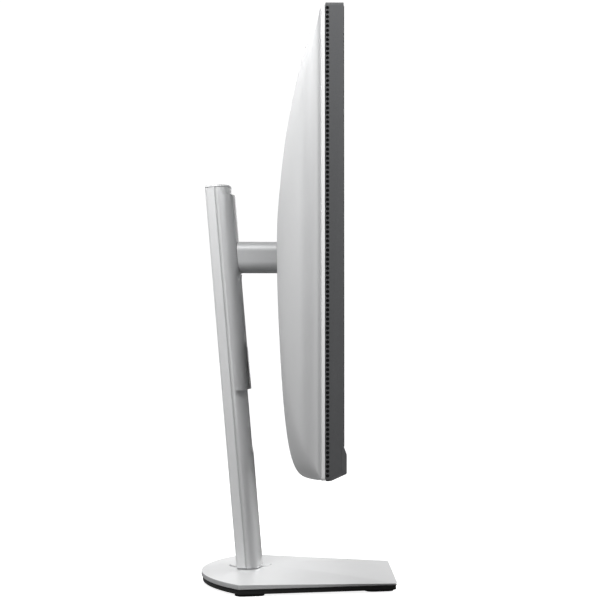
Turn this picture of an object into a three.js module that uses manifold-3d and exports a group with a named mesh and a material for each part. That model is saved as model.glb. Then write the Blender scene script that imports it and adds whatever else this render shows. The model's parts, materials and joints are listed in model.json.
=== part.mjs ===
// A 27-inch class desktop monitor on a height-adjustable stand, in millimetres.
// +Z is up, the screen faces -Y, +X is the viewer's right, and the origin is on the desk under the middle.
// Bodies that move: column (swivel), carriage (height), knuckle (tilt), head (pivot), and the controls.
import * as THREE from "three";
import { mergeVertices } from "three/addons/utils/BufferGeometryUtils.js";
import Module from "manifold-3d";

const wasm = await Module();
wasm.setup();

// ---- driving dimensions -------------------------------------------------------------------------

const GAP = 0.3; // between pieces that touch on the real object
const RUNNING_GAP = 0.5; // between pieces that slide or turn on each other

// head
const HEAD_WIDTH = 611.9;
const HEAD_HEIGHT = 356.1;
const HEAD_CENTRE_Z = 295.6; // above the desk, at the height that is modelled
const HEAD_CORNER_R = 4;
const GLASS_Y = -34.6; // front of the glass
const FRAME_DEPTH = 13.9; // side frame, from the glass back
const FRAME_WALL = 1.6;
const RIM_DEPTH = 3.5; // straight rim of the rear cover
const RIM_STEP = 0.4; // the rim stands inside the frame's outline by this
const COVER_DEPTH = 35.8; // rear cover behind its rim
const COVER_WALL = 2.2;
const COVER_CROWN_Z = 2.2; // height of the deepest line of the cover, from the head's centre
const COVER_CORNER_GROWTH = 70; // how much rounder the cover's corners are at its back
const TOP_CURVE = [1.1, 1.9]; // exponents of the cover's outline above, below and beside its crown
const BOTTOM_CURVE = [5.5, 1.075];
const SIDE_CURVE = [3, 3];
const COVER_LEVELS = [0, 0.1, 0.22, 0.36, 0.5, 0.62, 0.73, 0.82, 0.89, 0.94, 0.975, 0.993];

// chin
const CHIN_HEIGHT = 24.5;
const CHIN_PROUD = 1.7;
const CHIN_BACK = 12.4; // how far the bevel under the chin runs back from its front
const CHIN_BEVEL = 5.6;
const CHIN_WALL = 2;
const CHIN_BLEND = 4.5; // height of the slope from the glass out to the chin's front
const FRAME_LIP = 0.4; // the glass stands proud of the frame by this
const LED_INSET = 22;
const LED_LENGTH = 6;
const LED_WIDTH = 1.5;

// display stack, front to back
const GLASS_BORDER = 0.6;
const LCD_THICK = 2;
const DIFFUSER_THICK = 1;
const GUIDE_THICK = 3;
const LED_BAR_HEIGHT = 5;
const TRAY_WALL = 1;
const TIMING_WIDTH = 240;
const TIMING_HEIGHT = 20;
const TIMING_DROP = 6; // from the stack's top edge down to the timing board

// boards and connectors
const SHIELD_WIDTH = 290;
const SHIELD_RISE = 85.9; // top of the shield above the tilt axis
const SHIELD_DEPTH = 21.4;
const SHIELD_WALL = 1;
const BOARD_THICK = 1.6;
const BOARD_STANDOFF = 6; // from the tray's back to the boards
const BAY_WIDTH = 190;
const BAY_HEIGHT = 46;
const BAY_DROP = 8.1; // from the stand's pocket down to the bay
const BAY_WALL = 1.6;
const PORT_DEPTH = 12;
const PORT_HEIGHT = 6;
const PORT_WALL = 0.8;
const PORT_TONGUE = 2;
const HDMI_WIDTH = 15;
const DISPLAY_PORT_WIDTH = 17;
const INLET_WIDTH = 27;
const INLET_HEIGHT = 17;
const INLET_DEPTH = 17;
const INLET_WALL = 2;
const INLET_PIN_LENGTH = 9;
const JACK_R = 3.4;
const JACK_BORE_R = 1.8;
const PORT_X = { inlet: -55, hdmi_1: 8, hdmi_2: 30, display: 53, audio: 74 };
const SPEAKER_WIDTH = 70;
const SPEAKER_HEIGHT = 24;
const SPEAKER_DEPTH = 14;
const SPEAKER_X = 180; // middle of each speaker from the head's centre
const SPEAKER_RISE = 28; // above the head's bottom edge

// controls
const CONTROL_X = 262; // joystick and power button, on the viewer's right
const JOYSTICK_RISE = 32; // above the head's bottom edge
const JOYSTICK_HOLE_R = 8.5;
const JOYSTICK_CAP_R = 6.5;
const JOYSTICK_STEM_R = 2;
const JOYSTICK_PROUD = 3;
const JOYSTICK_CAP_WALL = 1;
const JOYSTICK_PRESS = 0.8;
const GIMBAL_THICK = 3;
const CONTROL_BOARD_SIZE = 24;
const BUTTON_WIDTH = 13;
const BUTTON_DEPTH = 5;
const BUTTON_PROUD = 0.4;
const BUTTON_TALL = 7;

// stand mount on the head
const POCKET_WIDTH = 126;
const POCKET_HEIGHT = 138;
const HEAD_PLATE_SIZE = 114;
const HEAD_PLATE_THICK = 3;
const HEAD_PLATE_DEPTH = 33; // front of the stand's head plate, behind the glass
const MOUNT_PLATE_THICK = 2;
const MOUNT_PLATE_SIZE = 118;
const SCREW_LENGTH = 4;
const BOLT_SPACING = 100;
const BOLT_R = 2;
const RELEASE_WIDTH = 26;
const RELEASE_HEIGHT = 8;
const RELEASE_TRAVEL = 2;
const RELEASE_PROUD = 6;

// tilt and pivot
const TILT_DEPTH = 46.6; // tilt axis behind the glass
const TILT_Z = 298.7;
const TILT_PIN_R = 4;
const TILT_HUB_R = 6.5;
const KNUCKLE_HALF_WIDTH = 11;
const PIVOT_SHAFT_R = 5;
const PIVOT_DISC_R = 22;
const PIVOT_DISC_THICK = 2;
const PIVOT_WASHER_THICK = 1;
const PIVOT_FLANGE_R = 10;

// arm
const ARM_WIDTH = 48;
const ARM_HEIGHT = 27.8;
const ARM_WALL = 2.2;
const ARM_EDGE_R = 6;
const ARM_END_CLEARANCE = 5; // from the tilt axis to the end of the arm's cover
const PIN_HEAD = 1.5;

// column, in its own leaning frame
const COLUMN_LEAN = THREE.MathUtils.degToRad(4.84);
const COLUMN_FOOT_Y = 43.5;
const COLUMN_TOP_Z = 365;
const COLUMN_DEPTH = 23.2;
const STRIP_DEPTH = 8.5; // flat side strip of the rear shell
const STRIP_HALF_WIDTH = 32.5;
const STRIP_TAPER = 2.5;
const COLUMN_WALL = 2;
const NOSE_HALF_WIDTH = 33;
const NOSE_POWER = 2.6;
const SEAM = 1.2; // open line between the two column shells
const CABLE_SLOT_Z = 119; // lower end of the slot
const CABLE_HOLE_HEIGHT = 78;
const SLOT_HALF_WIDTH = 18;
const RAIL_WIDTH = 4;
const RAIL_DEPTH = 6;
const RAIL_X = 24; // inner side of each rail
const RAIL_SPARE = 2; // rail beyond the block at each end of its travel
const FOOT_CASTING_HEIGHT = 40;

// carriage
const CARRIAGE_TOP_Z = 355.5;
const CARRIAGE_BOTTOM_Z = 177;
const CARRIAGE_WALL = 2.5;
const CARRIAGE_WRAP = 13.6;
const WINDOW_TOP_Z = 282;
const WINDOW_BOTTOM_Z = 213;
const TRAVEL_UP = 21.5;
const TRAVEL_DOWN = 88.5;
const BLOCK_HEIGHT = 70;
const NECK_HEIGHT = 22;
const NECK_HALF_WIDTH = 15;
const SPRING_R = 7.5;
const SPRING_WIDTH = 18;
const SPRING_BORE_R = 3;
const SPRING_SINK = 2; // the coil sits in a pocket in the block's top
const SPRING_Y = 0;
const BLOCK_FRONT_Y = -4;
const BLOCK_BACK_Y = 6;

// base
const BASE_DEPTH = 177;
const BASE_FRONT_HALF_WIDTH = 73.9;
const BASE_BACK_HALF_WIDTH = 102.4;
const BASE_CORNER_Y = 50.6;
const BASE_EDGE_R = 4;
const BASE_UNDERSIDE_Z = 6.4;
const BASE_CROWN_Z = 14.5;
const BASE_FRONT_Z = 7.8;
const BASE_CORNER_Z = 10.7;
const PAN_BOTTOM_Z = 2;
const PAN_INSET = 1.2;
const FOOT_LENGTH = 26;
const FOOT_WIDTH = 15;
const FOOT_INSET = 10;
const FOOT_REACH = 4; // the rear feet reach past the base's widest line by this

// swivel
const SPIGOT_R = 19;
const TURNTABLE_R = 28;
const TURNTABLE_THICK = 2.8;
const BEARING_THICK = 0.7;
const SWIVEL_CEILING_Z = 11;
const THUMBSCREW_R = 4;
const THUMBSCREW_HEAD_R = 10;
const THUMBSCREW_HEAD_THICK = 2.2;
const THREAD_TOP_Z = 28;
const PAN_HOLE_R = 22;
const HANDLE_R = 12;
const HANDLE_WIRE = 1.2;

// ---- materials ----------------------------------------------------------------------------------

const finish = (color, roughness, metalness) =>
  new THREE.MeshStandardMaterial({ color, roughness, metalness });
const SILVER = finish(0xd9dadb, 0.42, 0.35);
const SILVER_METAL = finish(0xdcdddd, 0.35, 0.8);
const DARK_GREY = finish(0x46484b, 0.55, 0.1);
const BLACK = finish(0x141415, 0.6, 0);
const RUBBER = finish(0x0d0d0d, 0.85, 0);
const STEEL = finish(0x9a9da0, 0.4, 0.9);
const ZINC = finish(0xb4b7ba, 0.45, 0.85);
const SCREEN = finish(0x0a0b0d, 0.3, 0);
const MILKY = finish(0xf0f2f2, 0.5, 0);
const BOARD = finish(0x1f4a2f, 0.6, 0.05);
const LED = finish(0xf4f6ff, 0.3, 0);

// ---- solids -------------------------------------------------------------------------------------

// A closed geometry as a solid that can be cut and joined.
function toSolid(geometry) {
  const bare = new THREE.BufferGeometry();
  bare.setAttribute("position", geometry.getAttribute("position").clone());
  bare.setIndex(geometry.index ? geometry.index.clone() : null);
  const merged = mergeVertices(bare, 1e-4);
  const vertProperties = new Float32Array(merged.getAttribute("position").array);
  const triVerts = new Uint32Array(merged.index.array);
  return new wasm.Manifold(new wasm.Mesh({ numProp: 3, vertProperties, triVerts }));
}

// A solid as a geometry.
function toGeometry(solid) {
  const mesh = solid.getMesh();
  const geometry = new THREE.BufferGeometry();
  geometry.setAttribute("position", new THREE.BufferAttribute(mesh.vertProperties, 3));
  geometry.setIndex(new THREE.BufferAttribute(mesh.triVerts, 1));
  geometry.computeVertexNormals();
  return geometry;
}

const cut = (body, ...tools) =>
  toGeometry(tools.reduce((rest, tool) => rest.subtract(toSolid(tool)), toSolid(body)));
const join = (body, ...others) =>
  toGeometry(others.reduce((whole, other) => whole.add(toSolid(other)), toSolid(body)));
const keep = (body, region) => toGeometry(toSolid(body).intersect(toSolid(region)));

// A box between two opposite corners.
function box(x0, x1, y0, y1, z0, z1) {
  const geometry = new THREE.BoxGeometry(x1 - x0, y1 - y0, z1 - z0);
  return geometry.translate((x0 + x1) / 2, (y0 + y1) / 2, (z0 + z1) / 2);
}

// Round bars along each axis, from one end to the other.
const barX = (r, x0, x1, y, z, sides = 24) =>
  new THREE.CylinderGeometry(r, r, x1 - x0, sides).rotateZ(Math.PI / 2).translate((x0 + x1) / 2, y, z);
const barY = (r, y0, y1, x, z, sides = 24) =>
  new THREE.CylinderGeometry(r, r, y1 - y0, sides).translate(x, (y0 + y1) / 2, z);
const barZ = (r, z0, z1, x, y, sides = 32) =>
  new THREE.CylinderGeometry(r, r, z1 - z0, sides).rotateX(Math.PI / 2).translate(x, y, (z0 + z1) / 2);

// A rectangle with round corners, as a list of points that runs anticlockwise.
function roundedRectangle(left, right, bottom, top, radius, steps = 4) {
  const corners = [
    [right - radius, top - radius, 0],
    [left + radius, top - radius, 1],
    [left + radius, bottom + radius, 2],
    [right - radius, bottom + radius, 3],
  ];
  return corners.flatMap(([x, y, quarter]) =>
    Array.from({ length: steps + 1 }, (_, i) => {
      const angle = (quarter + i / steps) * (Math.PI / 2);
      return new THREE.Vector2(x + radius * Math.cos(angle), y + radius * Math.sin(angle));
    }),
  );
}

// An outline in X and Z, extruded from one Y to another.
function slab(points, y0, y1) {
  const geometry = new THREE.ExtrudeGeometry(new THREE.Shape(points), {
    depth: y1 - y0,
    bevelEnabled: false,
  });
  return geometry.rotateX(Math.PI / 2).translate(0, y1, 0);
}

// An outline in X and Y, extruded from one Z to another.
function prism(points, z0, z1) {
  const geometry = new THREE.ExtrudeGeometry(new THREE.Shape(points), {
    depth: z1 - z0,
    bevelEnabled: false,
  });
  return geometry.translate(0, 0, z0);
}

// An outline in Y and Z, extruded from one X to another.
function bar(points, x0, x1) {
  const geometry = new THREE.ExtrudeGeometry(new THREE.Shape(points), {
    depth: x1 - x0,
    bevelEnabled: false,
  });
  return geometry.rotateX(Math.PI / 2).rotateZ(Math.PI / 2).translate(x0, 0, 0);
}

// A closed skin through rings that have the same number of points, closed by a fan at each end.
function loft(rings) {
  const count = rings[0].length;
  const centre = (ring) =>
    ring.reduce((sum, point) => sum.add(point), new THREE.Vector3()).divideScalar(count);
  const points = [...rings.flat(), centre(rings[0]), centre(rings[rings.length - 1])];
  const first = rings.length * count;
  const faces = [];
  for (let i = 0; i < count; i++) {
    const next = (i + 1) % count;
    for (let r = 0; r < rings.length - 1; r++) {
      const low = r * count;
      const high = low + count;
      faces.push(low + i, low + next, high + next, low + i, high + next, high + i);
    }
    const last = (rings.length - 1) * count;
    faces.push(first, next, i, first + 1, last + i, last + next);
  }
  const geometry = new THREE.BufferGeometry().setFromPoints(points);
  geometry.setIndex(faces);
  return geometry;
}

// A round part about Y: pairs of radius and depth.
const turnedY = (profile, sides = 28) =>
  new THREE.LatheGeometry(
    profile.map(([r, y]) => new THREE.Vector2(r, y)),
    sides,
  );

const ring = (outer, inner, z0, z1, x, y) =>
  cut(barZ(outer, z0, z1, x, y), barZ(inner, z0 - 1, z1 + 1, x, y));

function add(group, name, geometry, material) {
  const mesh = new THREE.Mesh(geometry, material);
  mesh.name = name;
  group.add(mesh);
}

// ---- base ---------------------------------------------------------------------------------------

const BASE_FRONT_Y = -BASE_DEPTH / 2;
const BASE_BACK_Y = BASE_DEPTH / 2;

// Radius of the arc that runs through the two back corners and the back of the base.
const ARC_RISE = BASE_BACK_Y - BASE_CORNER_Y;
const ARC_R = (BASE_BACK_HALF_WIDTH ** 2 + ARC_RISE ** 2) / (2 * ARC_RISE);

// The base's plan, inset from its edge: straight front and sides and a round back.
function basePlan(inset) {
  const front = BASE_FRONT_HALF_WIDTH - inset;
  const back = BASE_BACK_HALF_WIDTH - inset;
  const frontY = BASE_FRONT_Y + inset;
  const radius = ARC_R - inset;
  const centreY = BASE_BACK_Y - ARC_R;
  const sweep = Math.asin(back / radius);
  const shape = new THREE.Shape();
  shape.moveTo(-front + BASE_EDGE_R, frontY);
  shape.lineTo(front - BASE_EDGE_R, frontY);
  shape.quadraticCurveTo(front, frontY, front + BASE_EDGE_R * 0.2, frontY + BASE_EDGE_R);
  shape.absarc(0, centreY, radius, Math.PI / 2 - sweep, Math.PI / 2 + sweep, false);
  shape.lineTo(-front - BASE_EDGE_R * 0.2, frontY + BASE_EDGE_R);
  shape.quadraticCurveTo(-front, frontY, -front + BASE_EDGE_R, frontY);
  return shape.getPoints(10).slice(0, -1);
}

// Height of the base's top at its edge.
function edgeHeight(y) {
  const share = THREE.MathUtils.clamp((y - BASE_FRONT_Y) / (BASE_CORNER_Y - BASE_FRONT_Y), 0, 1);
  return BASE_FRONT_Z + (BASE_CORNER_Z - BASE_FRONT_Z) * share;
}

// A steel plate with a flat underside and a top that rises to the column's foot.
function basePlate() {
  const plan = basePlan(0);
  const bottom = plan.map((p) => new THREE.Vector3(p.x, p.y, BASE_UNDERSIDE_Z));
  const crowned = [0, 0.25, 0.5, 0.72, 0.86].map((share) =>
    plan.map((p) => {
      const rise = Math.sin((share * Math.PI) / 2);
      const edge = edgeHeight(p.y);
      const x = p.x * (1 - share);
      const y = p.y + (COLUMN_FOOT_Y - p.y) * share;
      return new THREE.Vector3(x, y, edge + (BASE_CROWN_Z - edge) * rise);
    }),
  );
  const flat = crowned[crowned.length - 1].map((p) => new THREE.Vector3(p.x, p.y, BASE_CROWN_Z));
  const below = BASE_UNDERSIDE_Z - 1;
  return cut(
    loft([bottom, ...crowned.slice(0, -1), flat]),
    barZ(TURNTABLE_R + 2, below, SWIVEL_CEILING_Z, 0, COLUMN_FOOT_Y),
    barZ(SPIGOT_R + RUNNING_GAP, below, BASE_CROWN_Z + 1, 0, COLUMN_FOOT_Y),
  );
}

// The black plastic pan under the plate, open round the thumbscrew.
function basePan() {
  return cut(
    prism(basePlan(PAN_INSET), PAN_BOTTOM_Z, BASE_UNDERSIDE_Z - GAP),
    barZ(PAN_HOLE_R, 0, BASE_UNDERSIDE_Z, 0, COLUMN_FOOT_Y),
  );
}

// A rubber foot under one corner of the pan.
function rubberFoot(x, y, turn) {
  const halfLength = FOOT_LENGTH / 2;
  const halfWidth = FOOT_WIDTH / 2;
  const outline = roundedRectangle(-halfWidth, halfWidth, -halfLength, halfLength, halfWidth - 1);
  return prism(outline, 0, PAN_BOTTOM_Z - GAP).rotateZ(turn).translate(x, y, 0);
}

function makeBase() {
  const base = new THREE.Group();
  add(base, "base_plate", basePlate(), SILVER_METAL);
  add(base, "base_pan", basePan(), BLACK);
  const sideTurn = Math.atan(
    (BASE_BACK_HALF_WIDTH - BASE_FRONT_HALF_WIDTH) / (BASE_CORNER_Y - BASE_FRONT_Y),
  );
  const inset = PAN_INSET + FOOT_INSET;
  const frontX = BASE_FRONT_HALF_WIDTH - inset;
  const rearX = BASE_BACK_HALF_WIDTH - inset - 1;
  const frontY = BASE_FRONT_Y + PAN_INSET + FOOT_LENGTH / 2 + 2;
  const rearY = BASE_CORNER_Y + FOOT_REACH - FOOT_LENGTH / 2;
  [-1, 1].forEach((side) => {
    const label = side < 0 ? "left" : "right";
    add(base, `foot_front_${label}`, rubberFoot(side * frontX, frontY, -side * sideTurn), RUBBER);
    add(base, `foot_rear_${label}`, rubberFoot(side * rearX, rearY, -side * sideTurn), RUBBER);
  });
  const bearingTop = SWIVEL_CEILING_Z - GAP;
  const bearing = ring(
    TURNTABLE_R + 1,
    SPIGOT_R + RUNNING_GAP + 1,
    bearingTop - BEARING_THICK,
    bearingTop,
    0,
    COLUMN_FOOT_Y,
  );
  add(base, "swivel_bearing_ring", bearing, STEEL);
  return base;
}

// ---- column -------------------------------------------------------------------------------------

// The column's own frame: z runs up along its length, y runs to its rear face, x across.
const COLUMN_FOOT_Z = BASE_CROWN_Z;
const REAR_Y = COLUMN_DEPTH / 2;
const CREST_Y = -COLUMN_DEPTH / 2;
const along = (z, y = CREST_Y) =>
  (z - COLUMN_FOOT_Z + y * Math.sin(COLUMN_LEAN)) / Math.cos(COLUMN_LEAN);
const COLUMN_LENGTH = along(COLUMN_TOP_Z);
const STRIP_Y = REAR_Y - STRIP_DEPTH;
const NOSE_DEPTH = STRIP_Y - SEAM - CREST_Y;
const NOSE_Y = STRIP_Y - SEAM;

// A curved nose from one side round to the other: half a superellipse that starts at startY.
function nose(halfWidth, depth, y, startY = y, steps = 18) {
  const from = Math.asin(((y - startY) / depth) ** (NOSE_POWER / 2));
  return Array.from({ length: steps + 1 }, (_, i) => {
    const angle = from + ((Math.PI - 2 * from) * i) / steps;
    const cosine = Math.cos(angle);
    const x = halfWidth * Math.sign(cosine) * Math.abs(cosine) ** (2 / NOSE_POWER);
    return new THREE.Vector2(x, y - depth * Math.sin(angle) ** (2 / NOSE_POWER));
  }).reverse();
}

// A curved wall between an outer and an inner nose.
const noseWall = (outer, inner) => [...outer, ...inner.slice().reverse()];

// The rear shell's outline, grown or shrunk by an offset.
function stripOutline(offset) {
  const wide = STRIP_HALF_WIDTH + offset;
  const narrow = STRIP_HALF_WIDTH - STRIP_TAPER + offset;
  const back = REAR_Y + offset;
  const edge = 1.5;
  return [
    new THREE.Vector2(wide, STRIP_Y),
    new THREE.Vector2(narrow, back - edge),
    new THREE.Vector2(narrow - edge, back),
    new THREE.Vector2(-narrow + edge, back),
    new THREE.Vector2(-narrow, back - edge),
    new THREE.Vector2(-wide, STRIP_Y),
  ];
}

// Moves a shape from the part's frame into the column's, and back.
const intoColumn = (geometry) =>
  geometry.translate(0, -COLUMN_FOOT_Y, -COLUMN_FOOT_Z).rotateX(COLUMN_LEAN);
const outOfColumn = (geometry) =>
  geometry.rotateX(-COLUMN_LEAN).translate(0, COLUMN_FOOT_Y, COLUMN_FOOT_Z);

// Everything above a level plane through the column's foot, in the column's frame.
function aboveFoot() {
  const big = 2 * COLUMN_LENGTH;
  return intoColumn(box(-big, big, -big, big, COLUMN_FOOT_Z + RUNNING_GAP, big));
}

const FOOT_SKEW = 6; // extra length under the foot, so that the level cut meets every side

// The slot that the carriage's neck runs in, and the cable hole at its lower end.
const SLOT_BOTTOM = along(CABLE_SLOT_Z);
const COVER_OFFSET = RUNNING_GAP + CARRIAGE_WALL;
const CARRIAGE_FRONT_Y = CREST_Y - COVER_OFFSET;
const ARM_ALONG = along(TILT_Z, CARRIAGE_FRONT_Y);
const SLOT_TOP = ARM_ALONG + TRAVEL_UP + NECK_HEIGHT / 2 + 4;

function slotOutline(bottom, top) {
  return roundedRectangle(-SLOT_HALF_WIDTH, SLOT_HALF_WIDTH, bottom, top, 6);
}

function columnRearShell() {
  const inner = stripOutline(-COLUMN_WALL);
  const top = COLUMN_LENGTH - COLUMN_WALL - GAP;
  const wall = [...stripOutline(0), ...inner.reverse()];
  const cableHole = slab(
    slotOutline(SLOT_BOTTOM, SLOT_BOTTOM + CABLE_HOLE_HEIGHT),
    REAR_Y - COLUMN_WALL - 2,
    REAR_Y + 2,
  );
  const shell = cut(prism(wall, -FOOT_SKEW, top), cableHole);
  return keep(shell, aboveFoot());
}

function columnFrontShell() {
  const outer = nose(NOSE_HALF_WIDTH, NOSE_DEPTH, NOSE_Y);
  const inner = nose(NOSE_HALF_WIDTH - COLUMN_WALL, NOSE_DEPTH - COLUMN_WALL, NOSE_Y);
  const top = COLUMN_LENGTH - COLUMN_WALL - GAP;
  const slot = slab(slotOutline(SLOT_BOTTOM, SLOT_TOP), CREST_Y - 2, NOSE_Y + 1);
  return keep(cut(prism(noseWall(outer, inner), -FOOT_SKEW, top), slot), aboveFoot());
}

// The lid on the column, with the same outline as the two shells together.
function columnTopCap() {
  const outline = [...stripOutline(0), ...nose(NOSE_HALF_WIDTH, NOSE_DEPTH, NOSE_Y)];
  return prism(outline, COLUMN_LENGTH - COLUMN_WALL, COLUMN_LENGTH);
}

// The casting that closes the column's foot and carries the spigot down into the base.
function columnFoot() {
  const clearance = COLUMN_WALL + GAP;
  const inner = nose(NOSE_HALF_WIDTH - clearance, NOSE_DEPTH - clearance, NOSE_Y);
  const body = prism([...stripOutline(-clearance), ...inner], -2 * FOOT_SKEW, FOOT_CASTING_HEIGHT);
  const bottom = SWIVEL_CEILING_Z - BEARING_THICK - 2 * GAP;
  const level = COLUMN_FOOT_Z + RUNNING_GAP;
  const spigot = intoColumn(barZ(SPIGOT_R, bottom, level, 0, COLUMN_FOOT_Y));
  const thread = intoColumn(barZ(THUMBSCREW_R + GAP, 0, THREAD_TOP_Z, 0, COLUMN_FOOT_Y));
  return cut(join(keep(body, join(aboveFoot(), spigot)), spigot), thread);
}

const TURNTABLE_TOP_Z = SWIVEL_CEILING_Z - BEARING_THICK - 3 * GAP;
const TURNTABLE_BOTTOM_Z = TURNTABLE_TOP_Z - TURNTABLE_THICK;

const RAIL_BOTTOM = ARM_ALONG - TRAVEL_DOWN - BLOCK_HEIGHT / 2 - RAIL_SPARE;
const RAIL_TOP = ARM_ALONG + TRAVEL_UP + BLOCK_HEIGHT / 2 + RAIL_SPARE;

// A steel rail with a groove along the side that faces the carriage.
function slideRail(side) {
  const outer = RAIL_X + RAIL_WIDTH;
  const rail = box(RAIL_X, outer, -RAIL_DEPTH / 2, RAIL_DEPTH / 2, RAIL_BOTTOM, RAIL_TOP);
  const middle = RAIL_DEPTH / 6;
  const groove = box(RAIL_X - 1, RAIL_X + RAIL_WIDTH / 3, -middle, middle, RAIL_BOTTOM - 1, RAIL_TOP + 1);
  const right = cut(rail, groove);
  return side > 0 ? right : right.rotateZ(Math.PI);
}

function makeColumn() {
  const column = new THREE.Group();
  column.position.set(0, COLUMN_FOOT_Y, COLUMN_FOOT_Z);
  column.rotation.x = -COLUMN_LEAN;
  add(column, "column_rear_shell", columnRearShell(), SILVER);
  add(column, "column_front_shell", columnFrontShell(), SILVER);
  add(column, "column_top_cap", columnTopCap(), SILVER);
  add(column, "column_foot", columnFoot(), ZINC);
  add(column, "slide_rail_left", slideRail(-1), STEEL);
  add(column, "slide_rail_right", slideRail(1), STEEL);
  return column;
}

// The turntable under the base's top, clamped to the column's foot by the thumbscrew.
function makeSwivel() {
  const swivel = new THREE.Group();
  swivel.position.set(0, COLUMN_FOOT_Y, 0);
  const bore = THUMBSCREW_R + GAP;
  const turntable = ring(TURNTABLE_R, bore, TURNTABLE_BOTTOM_Z, TURNTABLE_TOP_Z, 0, 0);
  add(swivel, "swivel_turntable", turntable, STEEL);
  add(swivel, "base_thumbscrew", thumbscrew(), ZINC);
  add(swivel, "thumbscrew_handle", screwHandle(), STEEL);
  return swivel;
}

const SCREW_HEAD_TOP_Z = TURNTABLE_BOTTOM_Z - GAP;
const HANDLE_PIN_Z = PAN_BOTTOM_Z + HANDLE_WIRE;
const SCREW_HEAD_BOTTOM_Z = SCREW_HEAD_TOP_Z - THUMBSCREW_HEAD_THICK;

// A screw with a flat head, slotted across for the handle's pin.
function thumbscrew() {
  const head = barZ(THUMBSCREW_HEAD_R, SCREW_HEAD_BOTTOM_Z, SCREW_HEAD_TOP_Z, 0, 0);
  const shank = barZ(THUMBSCREW_R, SCREW_HEAD_TOP_Z - 1, THREAD_TOP_Z - 1, 0, 0);
  const slot = HANDLE_WIRE * Math.SQRT2 + GAP;
  const wide = THUMBSCREW_HEAD_R + 1;
  const channel = box(-wide, wide, -slot, slot, SCREW_HEAD_BOTTOM_Z - 1, HANDLE_PIN_Z + slot);
  return cut(join(head, shank), channel);
}

// A D-shaped wire ring, folded flat against the screw's head.
function screwHandle() {
  const reach = HANDLE_R + THUMBSCREW_HEAD_R * 0.2;
  const wire = [HANDLE_PIN_Z - HANDLE_WIRE, HANDLE_PIN_Z + HANDLE_WIRE];
  const outline = new THREE.Shape();
  outline.moveTo(-reach, -HANDLE_WIRE);
  outline.lineTo(reach, -HANDLE_WIRE);
  outline.absarc(0, HANDLE_WIRE, reach, 0, Math.PI, false);
  const opening = new THREE.Path();
  const inner = reach - 2 * HANDLE_WIRE;
  opening.moveTo(-inner, HANDLE_WIRE);
  opening.absarc(0, HANDLE_WIRE, inner, Math.PI, 0, true);
  outline.holes.push(opening);
  const options = { depth: wire[1] - wire[0], bevelEnabled: false, curveSegments: 10 };
  return new THREE.ExtrudeGeometry(outline, options).translate(0, 0, wire[0]);
}

// ---- carriage and arm ---------------------------------------------------------------------------

// The carriage cover's outer nose, grown by an offset.
const carriageNose = (offset, startY) =>
  nose(NOSE_HALF_WIDTH + COVER_OFFSET + offset, NOSE_DEPTH + COVER_OFFSET + offset, NOSE_Y, startY);

// Everything behind the carriage cover's front, grown by an offset.
function carriageSpace(offset) {
  const wide = NOSE_HALF_WIDTH + COVER_OFFSET + offset;
  const back = COLUMN_LENGTH;
  const outline = [
    ...carriageNose(offset),
    new THREE.Vector2(wide, back),
    new THREE.Vector2(-wide, back),
  ];
  return prism(outline, 0, 2 * COLUMN_LENGTH);
}

// A curved sleeve round the front shell, with a hole for the neck and a window under the arm.
function carriageCover() {
  const startY = CARRIAGE_FRONT_Y + CARRIAGE_WRAP;
  const wall = noseWall(carriageNose(0, startY), carriageNose(-CARRIAGE_WALL, startY));
  const sleeve = prism(wall, along(CARRIAGE_BOTTOM_Z), along(CARRIAGE_TOP_Z));
  const outline = slotOutline(along(WINDOW_BOTTOM_Z), along(WINDOW_TOP_Z));
  const opening = slab(outline, CARRIAGE_FRONT_Y - 2, NOSE_Y);
  const halfWidth = NECK_HALF_WIDTH + GAP;
  const halfHeight = NECK_HEIGHT / 2 + GAP;
  const neckHole = box(
    -halfWidth,
    halfWidth,
    CARRIAGE_FRONT_Y - 2,
    NOSE_Y,
    ARM_ALONG - halfHeight,
    ARM_ALONG + halfHeight,
  );
  return cut(sleeve, opening, neckHole);
}

// The block that slides on the rails, with the neck that comes out through the slot.
function carriageBlock() {
  const halfWidth = RAIL_X - RUNNING_GAP;
  const low = ARM_ALONG - BLOCK_HEIGHT / 2;
  const body = box(-halfWidth, halfWidth, BLOCK_FRONT_Y, BLOCK_BACK_Y, low, low + BLOCK_HEIGHT);
  const neckTop = ARM_ALONG + NECK_HEIGHT / 2;
  const neck = box(
    -NECK_HALF_WIDTH,
    NECK_HALF_WIDTH,
    CARRIAGE_FRONT_Y,
    BLOCK_FRONT_Y + 1,
    neckTop - NECK_HEIGHT,
    neckTop,
  );
  const tongueWide = RAIL_X + RAIL_WIDTH / 3 - RUNNING_GAP;
  const tongueDeep = RAIL_DEPTH / 6 - GAP;
  const tongue = box(-tongueWide, tongueWide, -tongueDeep, tongueDeep, low, low + BLOCK_HEIGHT);
  return join(body, keep(neck, carriageSpace(0)), tongue);
}

// The coiled steel strip that carries the head's weight, wound on its drum above the block.
function liftSpringCoil() {
  const z = ARM_ALONG + BLOCK_HEIGHT / 2 - SPRING_R - GAP - SPRING_SINK;
  const half = SPRING_WIDTH / 2;
  const coil = barX(SPRING_R, -half, half, SPRING_Y, z);
  return cut(coil, barX(SPRING_BORE_R, -half - 1, half + 1, SPRING_Y, z));
}

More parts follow.
